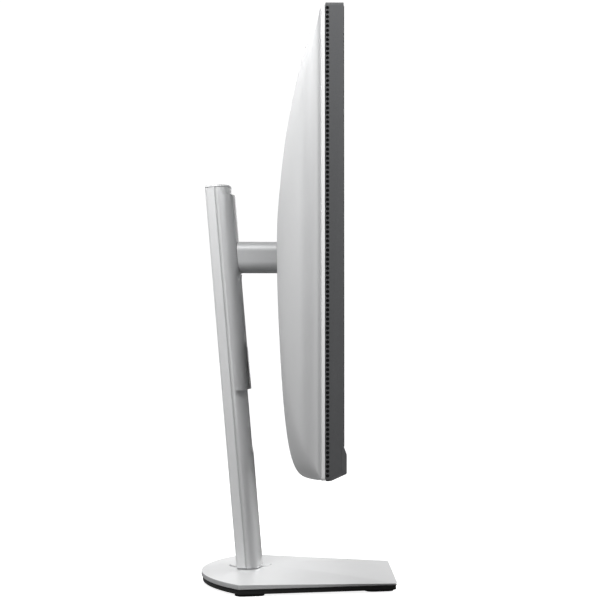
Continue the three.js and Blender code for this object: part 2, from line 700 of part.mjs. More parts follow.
function makeCarriage() {
  const carriage = new THREE.Group();
  carriage.position.set(0, COLUMN_FOOT_Y, COLUMN_FOOT_Z);
  carriage.rotation.x = -COLUMN_LEAN;
  const half = SPRING_WIDTH / 2 + RUNNING_GAP;
  const z = ARM_ALONG + BLOCK_HEIGHT / 2 - SPRING_R - GAP - SPRING_SINK;
  const room = barX(SPRING_R + RUNNING_GAP, -half, half, SPRING_Y, z);
  const roof = SPRING_R + RUNNING_GAP;
  const mouth = box(-half, half, SPRING_Y - roof, SPRING_Y + roof, z, z + 2 * SPRING_R);
  add(carriage, "carriage_cover", carriageCover(), SILVER);
  add(carriage, "carriage_block", cut(carriageBlock(), room, mouth), ZINC);
  add(carriage, "lift_spring_coil", liftSpringCoil(), STEEL);
  return carriage;
}

const TILT_Y = GLASS_Y + TILT_DEPTH;
const ARM_REAR_Y = 70; // inside the column: the arm's pieces are cut off in front of the carriage

// Everything behind the carriage cover's front, in the part's frame.
const behindCarriage = () => outOfColumn(carriageSpace(GAP));

// A hollow sleeve with round edges, from the carriage to just behind the tilt axis.
function armCover() {
  const halfWidth = ARM_WIDTH / 2;
  const halfHeight = ARM_HEIGHT / 2;
  const section = (inset) =>
    roundedRectangle(
      -halfWidth + inset,
      halfWidth - inset,
      TILT_Z - halfHeight + inset,
      TILT_Z + halfHeight - inset,
      ARM_EDGE_R - inset,
    );
  const front = TILT_Y + ARM_END_CLEARANCE;
  const sleeve = cut(slab(section(0), front, ARM_REAR_Y), slab(section(ARM_WALL), 0, ARM_REAR_Y + 1));
  return cut(sleeve, behindCarriage());
}

// The steel core of the arm, with two ears that hold the tilt pin.
function armBracket() {
  const half = NECK_HALF_WIDTH;
  const low = TILT_Z - NECK_HEIGHT / 2;
  const blockFront = TILT_Y + TILT_HUB_R + RUNNING_GAP;
  const core = box(-half, half, blockFront, ARM_REAR_Y, low, low + NECK_HEIGHT);
  const ears = join(
    box(-half, half, TILT_Y, blockFront + 1, TILT_Z - TILT_HUB_R, TILT_Z + TILT_HUB_R),
    barX(TILT_HUB_R, -half, half, TILT_Y, TILT_Z),
  );
  const slotHalf = KNUCKLE_HALF_WIDTH + RUNNING_GAP;
  const slot = box(
    -slotHalf,
    slotHalf,
    TILT_Y - 2 * TILT_HUB_R,
    blockFront,
    low - 1,
    low + NECK_HEIGHT + 1,
  );
  const pinHole = barX(TILT_PIN_R + GAP, -half - 1, half + 1, TILT_Y, TILT_Z);
  return cut(join(core, ears), slot, pinHole, behindCarriage());
}

// The pin, with a wider head at one end.
function tiltPin() {
  const half = NECK_HALF_WIDTH + GAP;
  const pin = barX(TILT_PIN_R, -half - PIN_HEAD, half + PIN_HEAD, TILT_Y, TILT_Z);
  return join(
    pin,
    barX(TILT_HUB_R - 0.5, half, half + PIN_HEAD, TILT_Y, TILT_Z),
    barX(TILT_HUB_R - 0.5, -half - PIN_HEAD, -half, TILT_Y, TILT_Z),
  );
}

function makeArm() {
  const arm = new THREE.Group();
  add(arm, "arm_cover", armCover(), SILVER);
  add(arm, "arm_bracket", armBracket(), STEEL);
  add(arm, "tilt_pin", tiltPin(), STEEL);
  return arm;
}

// ---- tilt knuckle and pivot ---------------------------------------------------------------------

// Depths behind the glass, front to back.
const HEAD_PLATE_BACK = HEAD_PLATE_DEPTH + HEAD_PLATE_THICK;
const WASHER_FRONT = HEAD_PLATE_BACK + GAP;
const DISC_FRONT = WASHER_FRONT + PIVOT_WASHER_THICK + GAP;
const KNUCKLE_FRONT = DISC_FRONT + PIVOT_DISC_THICK + GAP;
const FLANGE_BACK = HEAD_PLATE_DEPTH - GAP;
const FLANGE_FRONT = FLANGE_BACK - 1.5;
const TILT_OFFSET_Z = TILT_Z - HEAD_CENTRE_Z;

const discY = (r, bore, y0, y1, z = TILT_OFFSET_Z) =>
  cut(barY(r, y0, y1, 0, z), barY(bore, y0 - 1, y1 + 1, 0, z));

// The knuckle, its friction disc and washer, and the shaft that the head turns on.
function makeKnuckle() {
  const knuckle = new THREE.Group();
  knuckle.position.set(0, GLASS_Y, HEAD_CENTRE_Z);
  const half = KNUCKLE_HALF_WIDTH;
  const z = TILT_OFFSET_Z;
  const body = join(
    box(-half, half, KNUCKLE_FRONT, TILT_DEPTH, z - TILT_HUB_R, z + TILT_HUB_R),
    barX(TILT_HUB_R, -half, half, TILT_DEPTH, z),
  );
  const bore = barX(TILT_PIN_R + GAP, -half - 1, half + 1, TILT_DEPTH, z);
  const disc = discY(PIVOT_DISC_R, PIVOT_SHAFT_R + GAP, DISC_FRONT, DISC_FRONT + PIVOT_DISC_THICK);
  const washer = discY(
    PIVOT_DISC_R - 1,
    PIVOT_SHAFT_R + GAP,
    WASHER_FRONT,
    WASHER_FRONT + PIVOT_WASHER_THICK,
  );
  const shaft = join(
    barY(PIVOT_FLANGE_R, FLANGE_FRONT, FLANGE_BACK, 0, z),
    barY(PIVOT_SHAFT_R, FLANGE_FRONT, KNUCKLE_FRONT - GAP, 0, z),
  );
  add(knuckle, "tilt_knuckle", cut(body, bore), STEEL);
  add(knuckle, "pivot_disc", disc, STEEL);
  add(knuckle, "pivot_washer", washer, BLACK);
  add(knuckle, "pivot_shaft", shaft, STEEL);
  return knuckle;
}

// ---- head: covers -------------------------------------------------------------------------------

// The head's frame: y is the depth behind the glass, z is measured from the panel's middle.
const HALF_WIDTH = HEAD_WIDTH / 2;
const HALF_HEIGHT = HEAD_HEIGHT / 2;
const JOYSTICK_Z = JOYSTICK_RISE - HALF_HEIGHT;
const SPEAKER_Z = SPEAKER_RISE - HALF_HEIGHT;
const RIM_FRONT = FRAME_DEPTH + GAP;
const RIM_BACK = FRAME_DEPTH + RIM_DEPTH;

const headOutline = (inset, radius = HEAD_CORNER_R) =>
  roundedRectangle(
    -HALF_WIDTH + inset,
    HALF_WIDTH - inset,
    -HALF_HEIGHT + inset,
    HALF_HEIGHT - inset,
    Math.max(radius - inset, 0.5),
  );

// Share of the cover's size that is left at a share of its depth.
const spread = (level, [deep, wide]) => (1 - level ** deep) ** (1 / wide);

// The cover's contour at a share of its depth, shrunk by a wall.
function coverContour(level, wall = 0) {
  const right = (HALF_WIDTH - RIM_STEP) * spread(level, SIDE_CURVE) - wall;
  const rise = (HALF_HEIGHT - RIM_STEP - COVER_CROWN_Z) * spread(level, TOP_CURVE) - wall;
  const fall = (HALF_HEIGHT - RIM_STEP + COVER_CROWN_Z) * spread(level, BOTTOM_CURVE) - wall;
  const wanted = HEAD_CORNER_R + COVER_CORNER_GROWTH * level;
  const radius = Math.min(wanted, right * 0.95, (rise + fall) * 0.48);
  return { right, top: COVER_CROWN_Z + rise, bottom: COVER_CROWN_Z - fall, radius };
}

const contourPoints = ({ right, top, bottom, radius }) =>
  roundedRectangle(-right, right, bottom, top, radius, 5);

const atDepth = (points, depth) => points.map((p) => new THREE.Vector3(p.x, depth, p.y)).reverse();

// The solid inside the cover's skin, shrunk by a wall.
function coverSolid(wall, front) {
  const levels = COVER_LEVELS.map((level) => {
    const depth = RIM_BACK + (COVER_DEPTH - wall) * level;
    return atDepth(contourPoints(coverContour(level, wall)), depth);
  });
  return loft([atDepth(contourPoints(coverContour(0, wall)), front), ...levels]);
}

// Whether a point lies inside a contour.
function isInside({ right, top, bottom, radius }, x, z) {
  const overX = Math.abs(x) - (right - radius);
  const overZ = Math.max(z - (top - radius), bottom + radius - z);
  if (overX <= 0 || overZ <= 0) return overX <= radius && overZ <= radius;
  return Math.hypot(overX, overZ) <= radius;
}

// Depth of the cover's outside at a point of the back.
function coverDepthAt(x, z) {
  let low = 0;
  let high = 1;
  for (let i = 0; i < 30; i++) {
    const middle = (low + high) / 2;
    if (isInside(coverContour(middle), x, z)) low = middle;
    else high = middle;
  }
  return RIM_BACK + COVER_DEPTH * low;
}

const pocketOutline = (offset) =>
  roundedRectangle(
    -POCKET_WIDTH / 2 - offset,
    POCKET_WIDTH / 2 + offset,
    TILT_OFFSET_Z - POCKET_HEIGHT / 2 - offset,
    TILT_OFFSET_Z + POCKET_HEIGHT / 2 + offset,
    12 + offset,
  );

const BAY_TOP_Z = TILT_OFFSET_Z - POCKET_HEIGHT / 2 - BAY_DROP;
const BAY_BOTTOM_Z = BAY_TOP_Z - BAY_HEIGHT;
const TRAY_BACK = LCD_THICK + DIFFUSER_THICK + GUIDE_THICK + TRAY_WALL + 3 * GAP;
const BAY_FRONT = TRAY_BACK + GAP;
const COVER_BACK = RIM_BACK + COVER_DEPTH;
const BUTTON_Y = RIM_BACK + BUTTON_DEPTH + 1;
const BUTTON_X = CONTROL_X;

// A thin moulded shell with a walled pocket for the stand, and holes for the bay and the controls.
function rearCover() {
  const outside = coverSolid(0, RIM_FRONT);
  const pocketFront = HEAD_PLATE_DEPTH - 2;
  const sleeve = keep(slab(pocketOutline(COVER_WALL), pocketFront, COVER_BACK + 1), outside);
  const shell = join(cut(outside, coverSolid(COVER_WALL, RIM_FRONT - 2)), sleeve);
  const halfBay = BAY_WIDTH / 2 + GAP;
  const grow = GAP;
  return cut(
    shell,
    slab(pocketOutline(0), pocketFront - 1, COVER_BACK + 2),
    box(-halfBay, halfBay, BAY_FRONT, COVER_BACK + 2, BAY_BOTTOM_Z - grow, BAY_TOP_Z + grow),
    barY(JOYSTICK_HOLE_R, RIM_BACK, COVER_BACK + 2, CONTROL_X, JOYSTICK_Z),
    box(
      BUTTON_X - BUTTON_WIDTH / 2 - grow,
      BUTTON_X + BUTTON_WIDTH / 2 + grow,
      BUTTON_Y - BUTTON_DEPTH / 2 - grow,
      BUTTON_Y + BUTTON_DEPTH / 2 + grow,
      -HALF_HEIGHT - 1,
      -HALF_HEIGHT + 2 * COVER_WALL,
    ),
  );
}

// The chin's outside in depth and height, pushed out by an offset.
const CHIN_INNER_RISE = CHIN_BEVEL + CHIN_WALL * 0.8;
const chinOutline = (offset) =>
  [
    [-CHIN_PROUD, CHIN_BEVEL],
    [CHIN_BACK - CHIN_PROUD, 0],
    [CHIN_BACK - CHIN_PROUD + offset, CHIN_WALL + offset],
    [CHIN_WALL + offset, CHIN_INNER_RISE + offset],
    [CHIN_WALL + offset, CHIN_HEIGHT + offset],
    [0, CHIN_HEIGHT + offset],
    [-CHIN_PROUD, CHIN_HEIGHT - CHIN_BLEND],
  ].map(([y, z]) => new THREE.Vector2(y, z - HALF_HEIGHT));

const ledBox = (offset) =>
  box(
    HALF_WIDTH - LED_INSET - offset,
    HALF_WIDTH - LED_INSET + LED_LENGTH + offset,
    -CHIN_PROUD - 0.2,
    -CHIN_PROUD + CHIN_WALL / 2 + offset,
    -HALF_HEIGHT + CHIN_BEVEL + 2 - offset,
    -HALF_HEIGHT + CHIN_BEVEL + 2 + LED_WIDTH + offset,
  );

function chinBezel() {
  return cut(bar(chinOutline(0), -HALF_WIDTH, HALF_WIDTH), ledBox(GAP));
}

// The dark frame round the panel, cut away behind and under the chin.
function sideFrame() {
  const hoop = cut(
    slab(headOutline(0), FRAME_LIP, FRAME_DEPTH),
    slab(headOutline(FRAME_WALL), -1, FRAME_DEPTH + 1),
  );
  const under = HALF_HEIGHT + CHIN_WALL;
  const room = [
    ...chinOutline(GAP).slice(2, 6),
    new THREE.Vector2(-2 * CHIN_PROUD, CHIN_HEIGHT + GAP - HALF_HEIGHT),
    new THREE.Vector2(-2 * CHIN_PROUD, -under),
    new THREE.Vector2(CHIN_BACK - CHIN_PROUD + GAP, -under),
  ];
  return cut(hoop, bar(room, -HALF_WIDTH - 1, HALF_WIDTH + 1));
}

// ---- head: display stack ------------------------------------------------------------------------

const STACK_HALF_WIDTH = HALF_WIDTH - FRAME_WALL - GAP;
const STACK_TOP = HALF_HEIGHT - FRAME_WALL - GAP;
const STACK_BOTTOM = -HALF_HEIGHT + CHIN_HEIGHT + 2 * GAP;

// A flat sheet of the stack, inset from the glass.
const sheet = (front, thick, inset, bottom = STACK_BOTTOM) =>
  slab(
    roundedRectangle(
      -STACK_HALF_WIDTH + inset,
      STACK_HALF_WIDTH - inset,
      bottom + inset,
      STACK_TOP - inset,
      2,
      2,
    ),
    front,
    front + thick,
  );

// A steel pan behind the stack, with walls that run forward to the glass.
function backlightTray() {
  const front = LCD_THICK + GAP;
  const pan = sheet(front, TRAY_BACK - front, GLASS_BORDER);
  return cut(pan, sheet(front - 1, TRAY_BACK - TRAY_WALL - front + 1, GLASS_BORDER + TRAY_WALL));
}

function addDisplay(head) {
  const diffuserFront = LCD_THICK + GAP;
  const guideFront = diffuserFront + DIFFUSER_THICK + GAP;
  const inset = GLASS_BORDER + TRAY_WALL + GAP;
  const ledTop = STACK_BOTTOM + inset + LED_BAR_HEIGHT;
  const ledBar = box(
    -STACK_HALF_WIDTH + inset + LED_BAR_HEIGHT,
    STACK_HALF_WIDTH - inset - LED_BAR_HEIGHT,
    guideFront,
    guideFront + GUIDE_THICK,
    STACK_BOTTOM + inset,
    ledTop,
  );
  add(head, "lcd_panel", sheet(0, LCD_THICK, 0), SCREEN);
  add(head, "diffuser_sheet", sheet(diffuserFront, DIFFUSER_THICK, inset), MILKY);
  add(head, "light_guide", sheet(guideFront, GUIDE_THICK, inset, ledTop + GAP - inset), MILKY);
  add(head, "led_bar", ledBar, LED);
  add(head, "backlight_tray", backlightTray(), STEEL);
  const timingTop = STACK_TOP - TIMING_DROP;
  const timingBoard = box(
    -TIMING_WIDTH / 2,
    TIMING_WIDTH / 2,
    TRAY_BACK + GAP,
    TRAY_BACK + GAP + BOARD_THICK,
    timingTop - TIMING_HEIGHT,
    timingTop,
  );
  add(head, "timing_board", timingBoard, BOARD);
}

// ---- head: electronics --------------------------------------------------------------------------

const SHIELD_FRONT = TRAY_BACK + GAP;
const SHIELD_BACK = SHIELD_FRONT + SHIELD_DEPTH;
const SHIELD_BOTTOM_Z = BAY_TOP_Z + BAY_WALL;
const SHIELD_TOP_Z = TILT_OFFSET_Z + SHIELD_RISE;
const BOARD_FRONT = TRAY_BACK + BOARD_STANDOFF;
const BOARD_BACK = BOARD_FRONT + BOARD_THICK;
const PORT_MOUTH_Z = BAY_TOP_Z - BAY_WALL + GAP;
const PORT_FRONT = BOARD_BACK + GAP;
const PORT_MIDDLE = PORT_FRONT + PORT_HEIGHT / 2;
const JACK_MIDDLE = PORT_FRONT + JACK_R;
const INLET_FRONT = BAY_FRONT + BAY_WALL + 2 * GAP;
const INLET_MIDDLE = INLET_FRONT + INLET_HEIGHT / 2;

// The room that each connector needs in the walls that it passes, and its own outside.
function connectorBox(x, width, middle, height, depth, offset) {
  return box(
    x - width / 2 - offset,
    x + width / 2 + offset,
    middle - height / 2 - offset,
    middle + height / 2 + offset,
    PORT_MOUTH_Z - 2 * offset,
    PORT_MOUTH_Z + depth + offset,
  );
}

const SOCKETS = [
  ["hdmi_port_1", PORT_X.hdmi_1, HDMI_WIDTH],
  ["hdmi_port_2", PORT_X.hdmi_2, HDMI_WIDTH],
  ["display_port", PORT_X.display, DISPLAY_PORT_WIDTH],
];

function connectorRooms() {
  return [
    ...SOCKETS.map(([, x, width]) =>
      connectorBox(x, width, PORT_MIDDLE, PORT_HEIGHT, PORT_DEPTH, GAP),
    ),
    connectorBox(PORT_X.inlet, INLET_WIDTH, INLET_MIDDLE, INLET_HEIGHT, INLET_DEPTH, GAP),
    barZ(JACK_R + GAP, PORT_MOUTH_Z - 1, PORT_MOUTH_Z + PORT_DEPTH + GAP, PORT_X.audio, JACK_MIDDLE),
  ];
}

// A metal socket that faces down, with a tongue inside.
function socket(x, width) {
  const shell = connectorBox(x, width, PORT_MIDDLE, PORT_HEIGHT, PORT_DEPTH, 0);
  const inside = connectorBox(
    x,
    width - 2 * PORT_WALL,
    PORT_MIDDLE,
    PORT_HEIGHT - 2 * PORT_WALL,
    PORT_DEPTH - PORT_WALL,
    0,
  ).translate(0, 0, -PORT_WALL / 2);
  const tongue = connectorBox(x, width * 0.7, PORT_MIDDLE, PORT_TONGUE, PORT_DEPTH - 2, 0);
  return join(cut(shell, inside), tongue.translate(0, 0, 1.5));
}

// The mains inlet: a deep cup with three flat pins.
function powerInlet() {
  const shell = connectorBox(PORT_X.inlet, INLET_WIDTH, INLET_MIDDLE, INLET_HEIGHT, INLET_DEPTH, 0);
  const room = roundedRectangle(
    PORT_X.inlet - INLET_WIDTH / 2 + INLET_WALL,
    PORT_X.inlet + INLET_WIDTH / 2 - INLET_WALL,
    INLET_MIDDLE - INLET_HEIGHT / 2 + INLET_WALL,
    INLET_MIDDLE + INLET_HEIGHT / 2 - INLET_WALL,
    2,
  );
  const top = PORT_MOUTH_Z + INLET_DEPTH - INLET_WALL;
  const cup = cut(shell, prism(room, PORT_MOUTH_Z - 1, top));
  const pins = [-7, 0, 7].map((x, i) => {
    const y = INLET_MIDDLE + (i === 1 ? 2 : -2);
    const middle = PORT_X.inlet + x;
    return box(middle - 1, middle + 1, y - 2, y + 2, top - INLET_PIN_LENGTH, top + 1);
  });
  return join(cup, ...pins);
}

// The moulded recess that the cables plug into, open to the back.
function portBay() {
  const half = BAY_WIDTH / 2;
  const bay = keep(
    box(-half, half, BAY_FRONT, COVER_BACK, BAY_BOTTOM_Z, BAY_TOP_Z),
    coverSolid(GAP, RIM_FRONT - 2 * BAY_FRONT),
  );
  const room = box(
    -half + BAY_WALL,
    half - BAY_WALL,
    BAY_FRONT + BAY_WALL,
    COVER_BACK + 1,
    BAY_BOTTOM_Z + BAY_WALL,
    BAY_TOP_Z - BAY_WALL,
  );
  return cut(bay, room, ...connectorRooms());
}

// A steel box over the boards, open towards the panel, notched for the connectors.
function boardShield() {
  const half = SHIELD_WIDTH / 2;
  const wall = SHIELD_WALL;
  const shell = cut(
    box(-half, half, SHIELD_FRONT, SHIELD_BACK, SHIELD_BOTTOM_Z, SHIELD_TOP_Z),
    box(
      -half + wall,
      half - wall,
      SHIELD_FRONT - 1,
      SHIELD_BACK - wall,
      SHIELD_BOTTOM_Z + wall,
      SHIELD_TOP_Z - wall,
    ),
  );
  const screwHoles = boltPlaces().map(([x, z]) =>
    barY(BOLT_R + GAP, SHIELD_FRONT, SHIELD_BACK + 1, x, z, 16),
  );
  return cut(shell, ...connectorRooms(), ...screwHoles);
}

// A board with its tall parts: pairs of corners in x and z, and a height.
function board(x0, x1, z0, z1, parts) {
  const blocks = parts.map(([px, pz, width, height, tall]) =>
    box(px, px + width, BOARD_BACK - 0.5, BOARD_BACK + tall, pz, pz + height),
  );
  return join(box(x0, x1, BOARD_FRONT, BOARD_BACK, z0, z1), ...blocks);
}

function addElectronics(head) {
  const inner = SHIELD_WIDTH / 2 - SHIELD_WALL - GAP;
  const low = SHIELD_BOTTOM_Z + SHIELD_WALL + INLET_DEPTH;
  const high = SHIELD_TOP_Z - SHIELD_WALL - GAP;
  const split = -10;
  const powerParts = [
    [-inner + 12, low + 30, 34, 30, 11],
    [-inner + 60, low + 40, 14, 14, 12],
    [-inner + 80, low + 40, 14, 14, 12],
    [-inner + 12, low + 80, 50, 8, 9],
  ];
  const mainParts = [
    [split + 30, low + 40, 34, 34, 6],
    [split + 80, low + 44, 14, 20, 1.5],
    [split + 80, low + 74, 22, 8, 4],
  ];
  const mainBoard = board(split + 1, inner, PORT_MOUTH_Z + 1.5 * BAY_WALL + 2, high, mainParts);
  const shieldFloor = box(-inner, inner, 0, SHIELD_BACK, PORT_MOUTH_Z, SHIELD_BOTTOM_Z + 2 * SHIELD_WALL);
  add(head, "board_shield", boardShield(), STEEL);
  add(head, "power_board", board(-inner, split - 1, low, high, powerParts), BOARD);
  add(head, "main_board", cut(mainBoard, shieldFloor), BOARD);
  SOCKETS.forEach(([name, x, width]) => add(head, name, socket(x, width), STEEL));
  const jack = cut(
    barZ(JACK_R, PORT_MOUTH_Z, PORT_MOUTH_Z + PORT_DEPTH, PORT_X.audio, JACK_MIDDLE, 20),
    barZ(JACK_BORE_R, PORT_MOUTH_Z - 1, PORT_MOUTH_Z + PORT_DEPTH - 2, PORT_X.audio, JACK_MIDDLE, 16),
  );
  add(head, "audio_jack", jack, BLACK);
  add(head, "power_inlet", powerInlet(), BLACK);
  add(head, "port_bay", portBay(), BLACK);
  [-1, 1].forEach((side) => {
    add(head, side < 0 ? "speaker_left" : "speaker_right", speaker(side * SPEAKER_X), BLACK);
  });
}

// A speaker box with a round cone opening towards the front.
function speaker(x) {
  const front = RIM_BACK;
  const halfWidth = SPEAKER_WIDTH / 2;
  const halfHeight = SPEAKER_HEIGHT / 2;
  const outline = roundedRectangle(
    x - halfWidth,
    x + halfWidth,
    SPEAKER_Z - halfHeight,
    SPEAKER_Z + halfHeight,
    4,
  );
  const cone = barY(halfHeight - 2, front - 1, front + 3, x, SPEAKER_Z);
  return cut(slab(outline, front, front + SPEAKER_DEPTH), cone);
}

// ---- head: stand mount --------------------------------------------------------------------------

const MOUNT_PLATE_FRONT = SHIELD_BACK + GAP;
const MOUNT_PLATE_BACK = MOUNT_PLATE_FRONT + MOUNT_PLATE_THICK;
const SCREW_HEAD_R = BOLT_R * 1.8;
const SCREW_HEAD_THICK = 1;

function boltPlaces() {
  const half = BOLT_SPACING / 2;
  return [
    [-half, TILT_OFFSET_Z + half],
    [half, TILT_OFFSET_Z + half],
    [-half, TILT_OFFSET_Z - half],
    [half, TILT_OFFSET_Z - half],
  ];
}

const squarePlate = (size, front, thick) =>
  slab(
    roundedRectangle(-size / 2, size / 2, TILT_OFFSET_Z - size / 2, TILT_OFFSET_Z + size / 2, 8),
    front,
    front + thick,
  );

// The steel plate in the head that the stand hooks onto.
function mountPlate() {
  const holes = boltPlaces().flatMap(([x, z]) => [
    barY(BOLT_R + GAP, MOUNT_PLATE_FRONT - 1, MOUNT_PLATE_BACK + 1, x, z, 16),
    barY(SCREW_HEAD_R + GAP, MOUNT_PLATE_BACK - SCREW_HEAD_THICK - GAP, MOUNT_PLATE_BACK + 1, x, z, 16),
  ]);
  const shaftRoom = barY(PIVOT_FLANGE_R + 2, 0, MOUNT_PLATE_BACK + 1, 0, TILT_OFFSET_Z);
  return cut(squarePlate(MOUNT_PLATE_SIZE, MOUNT_PLATE_FRONT, MOUNT_PLATE_THICK), shaftRoom, ...holes);
}

function mountScrew(x, z) {
  const headFront = MOUNT_PLATE_BACK - SCREW_HEAD_THICK;
  return join(
    barY(SCREW_HEAD_R, headFront, MOUNT_PLATE_BACK, x, z, 16),
    barY(BOLT_R, headFront - SCREW_LENGTH, headFront + SCREW_HEAD_THICK / 2, x, z, 16),
  );
}

// The stand's plate, with the hole that the pivot shaft turns in.
function headPlate() {
  const bore = barY(PIVOT_SHAFT_R + GAP, 0, HEAD_PLATE_BACK + 1, 0, TILT_OFFSET_Z);
  return cut(squarePlate(HEAD_PLATE_SIZE, HEAD_PLATE_DEPTH, HEAD_PLATE_THICK), bore);
}

// The latch button under the stand's plate.
function releaseButton() {
  const top = TILT_OFFSET_Z - HEAD_PLATE_SIZE / 2 - RELEASE_TRAVEL - 2 * RUNNING_GAP;
  const half = RELEASE_WIDTH / 2;
  const outline = roundedRectangle(-half, half, top - RELEASE_HEIGHT, top, 2);
  return slab(outline, HEAD_PLATE_DEPTH, HEAD_PLATE_BACK + RELEASE_PROUD);
}

function addStandMount(head) {
  add(head, "mount_plate", mountPlate(), STEEL);
  boltPlaces().forEach(([x, z], i) => add(head, `mount_screw_${i + 1}`, mountScrew(x, z), ZINC));
  add(head, "head_plate", headPlate(), ZINC);
  add(head, "release_button", releaseButton(), DARK_GREY);
}

// ---- head: controls -----------------------------------------------------------------------------

const CONTROL_BOARD_FRONT = RIM_BACK;
const GIMBAL_FRONT = CONTROL_BOARD_FRONT + BOARD_THICK + RUNNING_GAP;
const GIMBAL_R = JOYSTICK_CAP_R;
const GIMBAL_BACK = GIMBAL_FRONT + GIMBAL_THICK;

// A rocker in two steps and a cap: the gimbal rocks up and down, the stem from side to side.
function addControls(head) {
  const x = CONTROL_X;
  const z = JOYSTICK_Z;
  const surface = coverDepthAt(x, z);
  const halfBoard = CONTROL_BOARD_SIZE / 2;
  const controlBoard = box(
    x - halfBoard,
    x + halfBoard,
    CONTROL_BOARD_FRONT,
    CONTROL_BOARD_FRONT + BOARD_THICK,
    z - halfBoard,
    z + halfBoard,
  );
  const gimbal = cut(
    barY(GIMBAL_R, GIMBAL_FRONT, GIMBAL_BACK, x, z),
    barY(JOYSTICK_STEM_R + 2 * RUNNING_GAP, GIMBAL_FRONT - 1, GIMBAL_BACK + 1, x, z),
  );
  const stemEnd = surface - JOYSTICK_CAP_WALL;
  const stem = barY(JOYSTICK_STEM_R, GIMBAL_FRONT, stemEnd, x, z, 20);
  const socketEnd = stemEnd + JOYSTICK_PRESS + RUNNING_GAP;
  const cap = cut(
    joystickCap(x, z, surface),
    barY(JOYSTICK_STEM_R + GAP, 0, socketEnd, x, z, 20),
  );
  const button = box(
    BUTTON_X - BUTTON_WIDTH / 2,
    BUTTON_X + BUTTON_WIDTH / 2,
    BUTTON_Y - BUTTON_DEPTH / 2,
    BUTTON_Y + BUTTON_DEPTH / 2,
    -HALF_HEIGHT + RIM_STEP - BUTTON_PROUD,
    -HALF_HEIGHT + RIM_STEP + BUTTON_TALL,
  );
  add(head, "control_board", controlBoard, BOARD);
  add(head, "joystick_gimbal", gimbal, BLACK);
  add(head, "joystick_stem", stem, STEEL);
  add(head, "joystick_cap", cap, BLACK);
  add(head, "power_button", button, DARK_GREY);
  add(head, "power_led", ledBox(0), LED);
}

// A round cap with a dished end, which stands a little proud of the cover.
function joystickCap(x, z, surface) {
  const back = surface + JOYSTICK_PROUD;
  const front = surface - 2 * JOYSTICK_PROUD;
  const profile = [
    [0, front],
    [JOYSTICK_CAP_R, front],
    [JOYSTICK_CAP_R, back - 1],
    [JOYSTICK_CAP_R - 1, back],
    [0, back - 0.8],
  ];
  return turnedY(profile).translate(x, 0, z);
}

function makeHead() {
  const head = new THREE.Group();
  head.position.set(0, GLASS_Y, HEAD_CENTRE_Z);
  add(head, "rear_cover", rearCover(), SILVER);
  add(head, "side_frame", sideFrame(), DARK_GREY);
  add(head, "chin_bezel", chinBezel(), DARK_GREY);
  addDisplay(head);
  addElectronics(head);
  addStandMount(head);
  addControls(head);
  return head;
}

// ---- the whole monitor --------------------------------------------------------------------------

const monitor = new THREE.Group();
monitor.add(makeBase(), makeSwivel(), makeColumn(), makeCarriage(), makeArm(), makeKnuckle(), makeHead());

export default monitor;
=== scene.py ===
"""A desktop monitor on a height-adjustable stand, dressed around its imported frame.

Mesh code works in millimetres and turns points into metres when a mesh is made. +Z is up, the screen
faces -Y, and the stand is behind it. Sizes of whole parts come from the frame; the rest are fields.
"""

import json
import logging
import math
from collections.abc import Callable, Iterable, Sequence
from dataclasses import dataclass, field
from enum import Enum

import bmesh
import bpy
from mathutils import Matrix, Vector


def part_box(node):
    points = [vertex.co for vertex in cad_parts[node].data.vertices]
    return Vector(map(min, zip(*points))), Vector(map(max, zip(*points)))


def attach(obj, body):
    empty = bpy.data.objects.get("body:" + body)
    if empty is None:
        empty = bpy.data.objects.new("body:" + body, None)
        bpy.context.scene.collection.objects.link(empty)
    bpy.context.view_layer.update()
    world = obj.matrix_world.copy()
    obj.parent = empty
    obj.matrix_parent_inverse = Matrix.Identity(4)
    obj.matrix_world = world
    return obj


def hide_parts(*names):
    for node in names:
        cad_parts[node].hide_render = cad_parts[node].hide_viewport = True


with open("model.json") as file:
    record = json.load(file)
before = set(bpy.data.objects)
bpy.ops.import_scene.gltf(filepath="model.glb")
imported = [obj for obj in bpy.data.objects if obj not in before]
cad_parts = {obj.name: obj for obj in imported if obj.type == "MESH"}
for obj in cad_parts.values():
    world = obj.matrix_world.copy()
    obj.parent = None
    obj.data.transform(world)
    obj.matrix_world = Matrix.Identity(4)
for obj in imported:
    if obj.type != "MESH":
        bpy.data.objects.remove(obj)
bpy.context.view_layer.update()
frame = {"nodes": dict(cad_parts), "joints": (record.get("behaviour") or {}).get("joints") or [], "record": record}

log = logging.getLogger("monitor")

Point = tuple[float, float]
Ring = Sequence[Vector]
Color = tuple[float, float, float]
Node = bpy.types.ShaderNode
Socket = bpy.types.NodeSocket

METRES = 0.001  # one millimetre
GAP = 0.3  # between pieces that touch on the real object
RUNNING_GAP = 0.5  # between pieces that slide on each other


class Slot(Enum):
    """The material slots of the record."""

    SILVER_PLASTIC = "silver_plastic"
    SILVER_METAL = "silver_metal"
    DARK_PLASTIC = "dark_plastic"
    BLACK_PLASTIC = "black_plastic"
    RUBBER = "rubber"
    STEEL = "steel"
    CAST_ALLOY = "cast_alloy"
    SCREEN = "screen"
    MILKY_PLASTIC = "milky_plastic"
    CIRCUIT_BOARD = "circuit_board"
    LED = "led"


# ---- outlines ---------------------------------------------------------------------------------------


def box_of(node: str) -> tuple[Vector, Vector]:
    """Lowest and highest corner of a frame node, in millimetres."""
    low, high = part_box(node)
    return low / METRES, high / METRES


def joint(name: str) -> dict:
    """The frame's joint of that name."""
    return next(j for j in frame["joints"] if j["name"] == name)


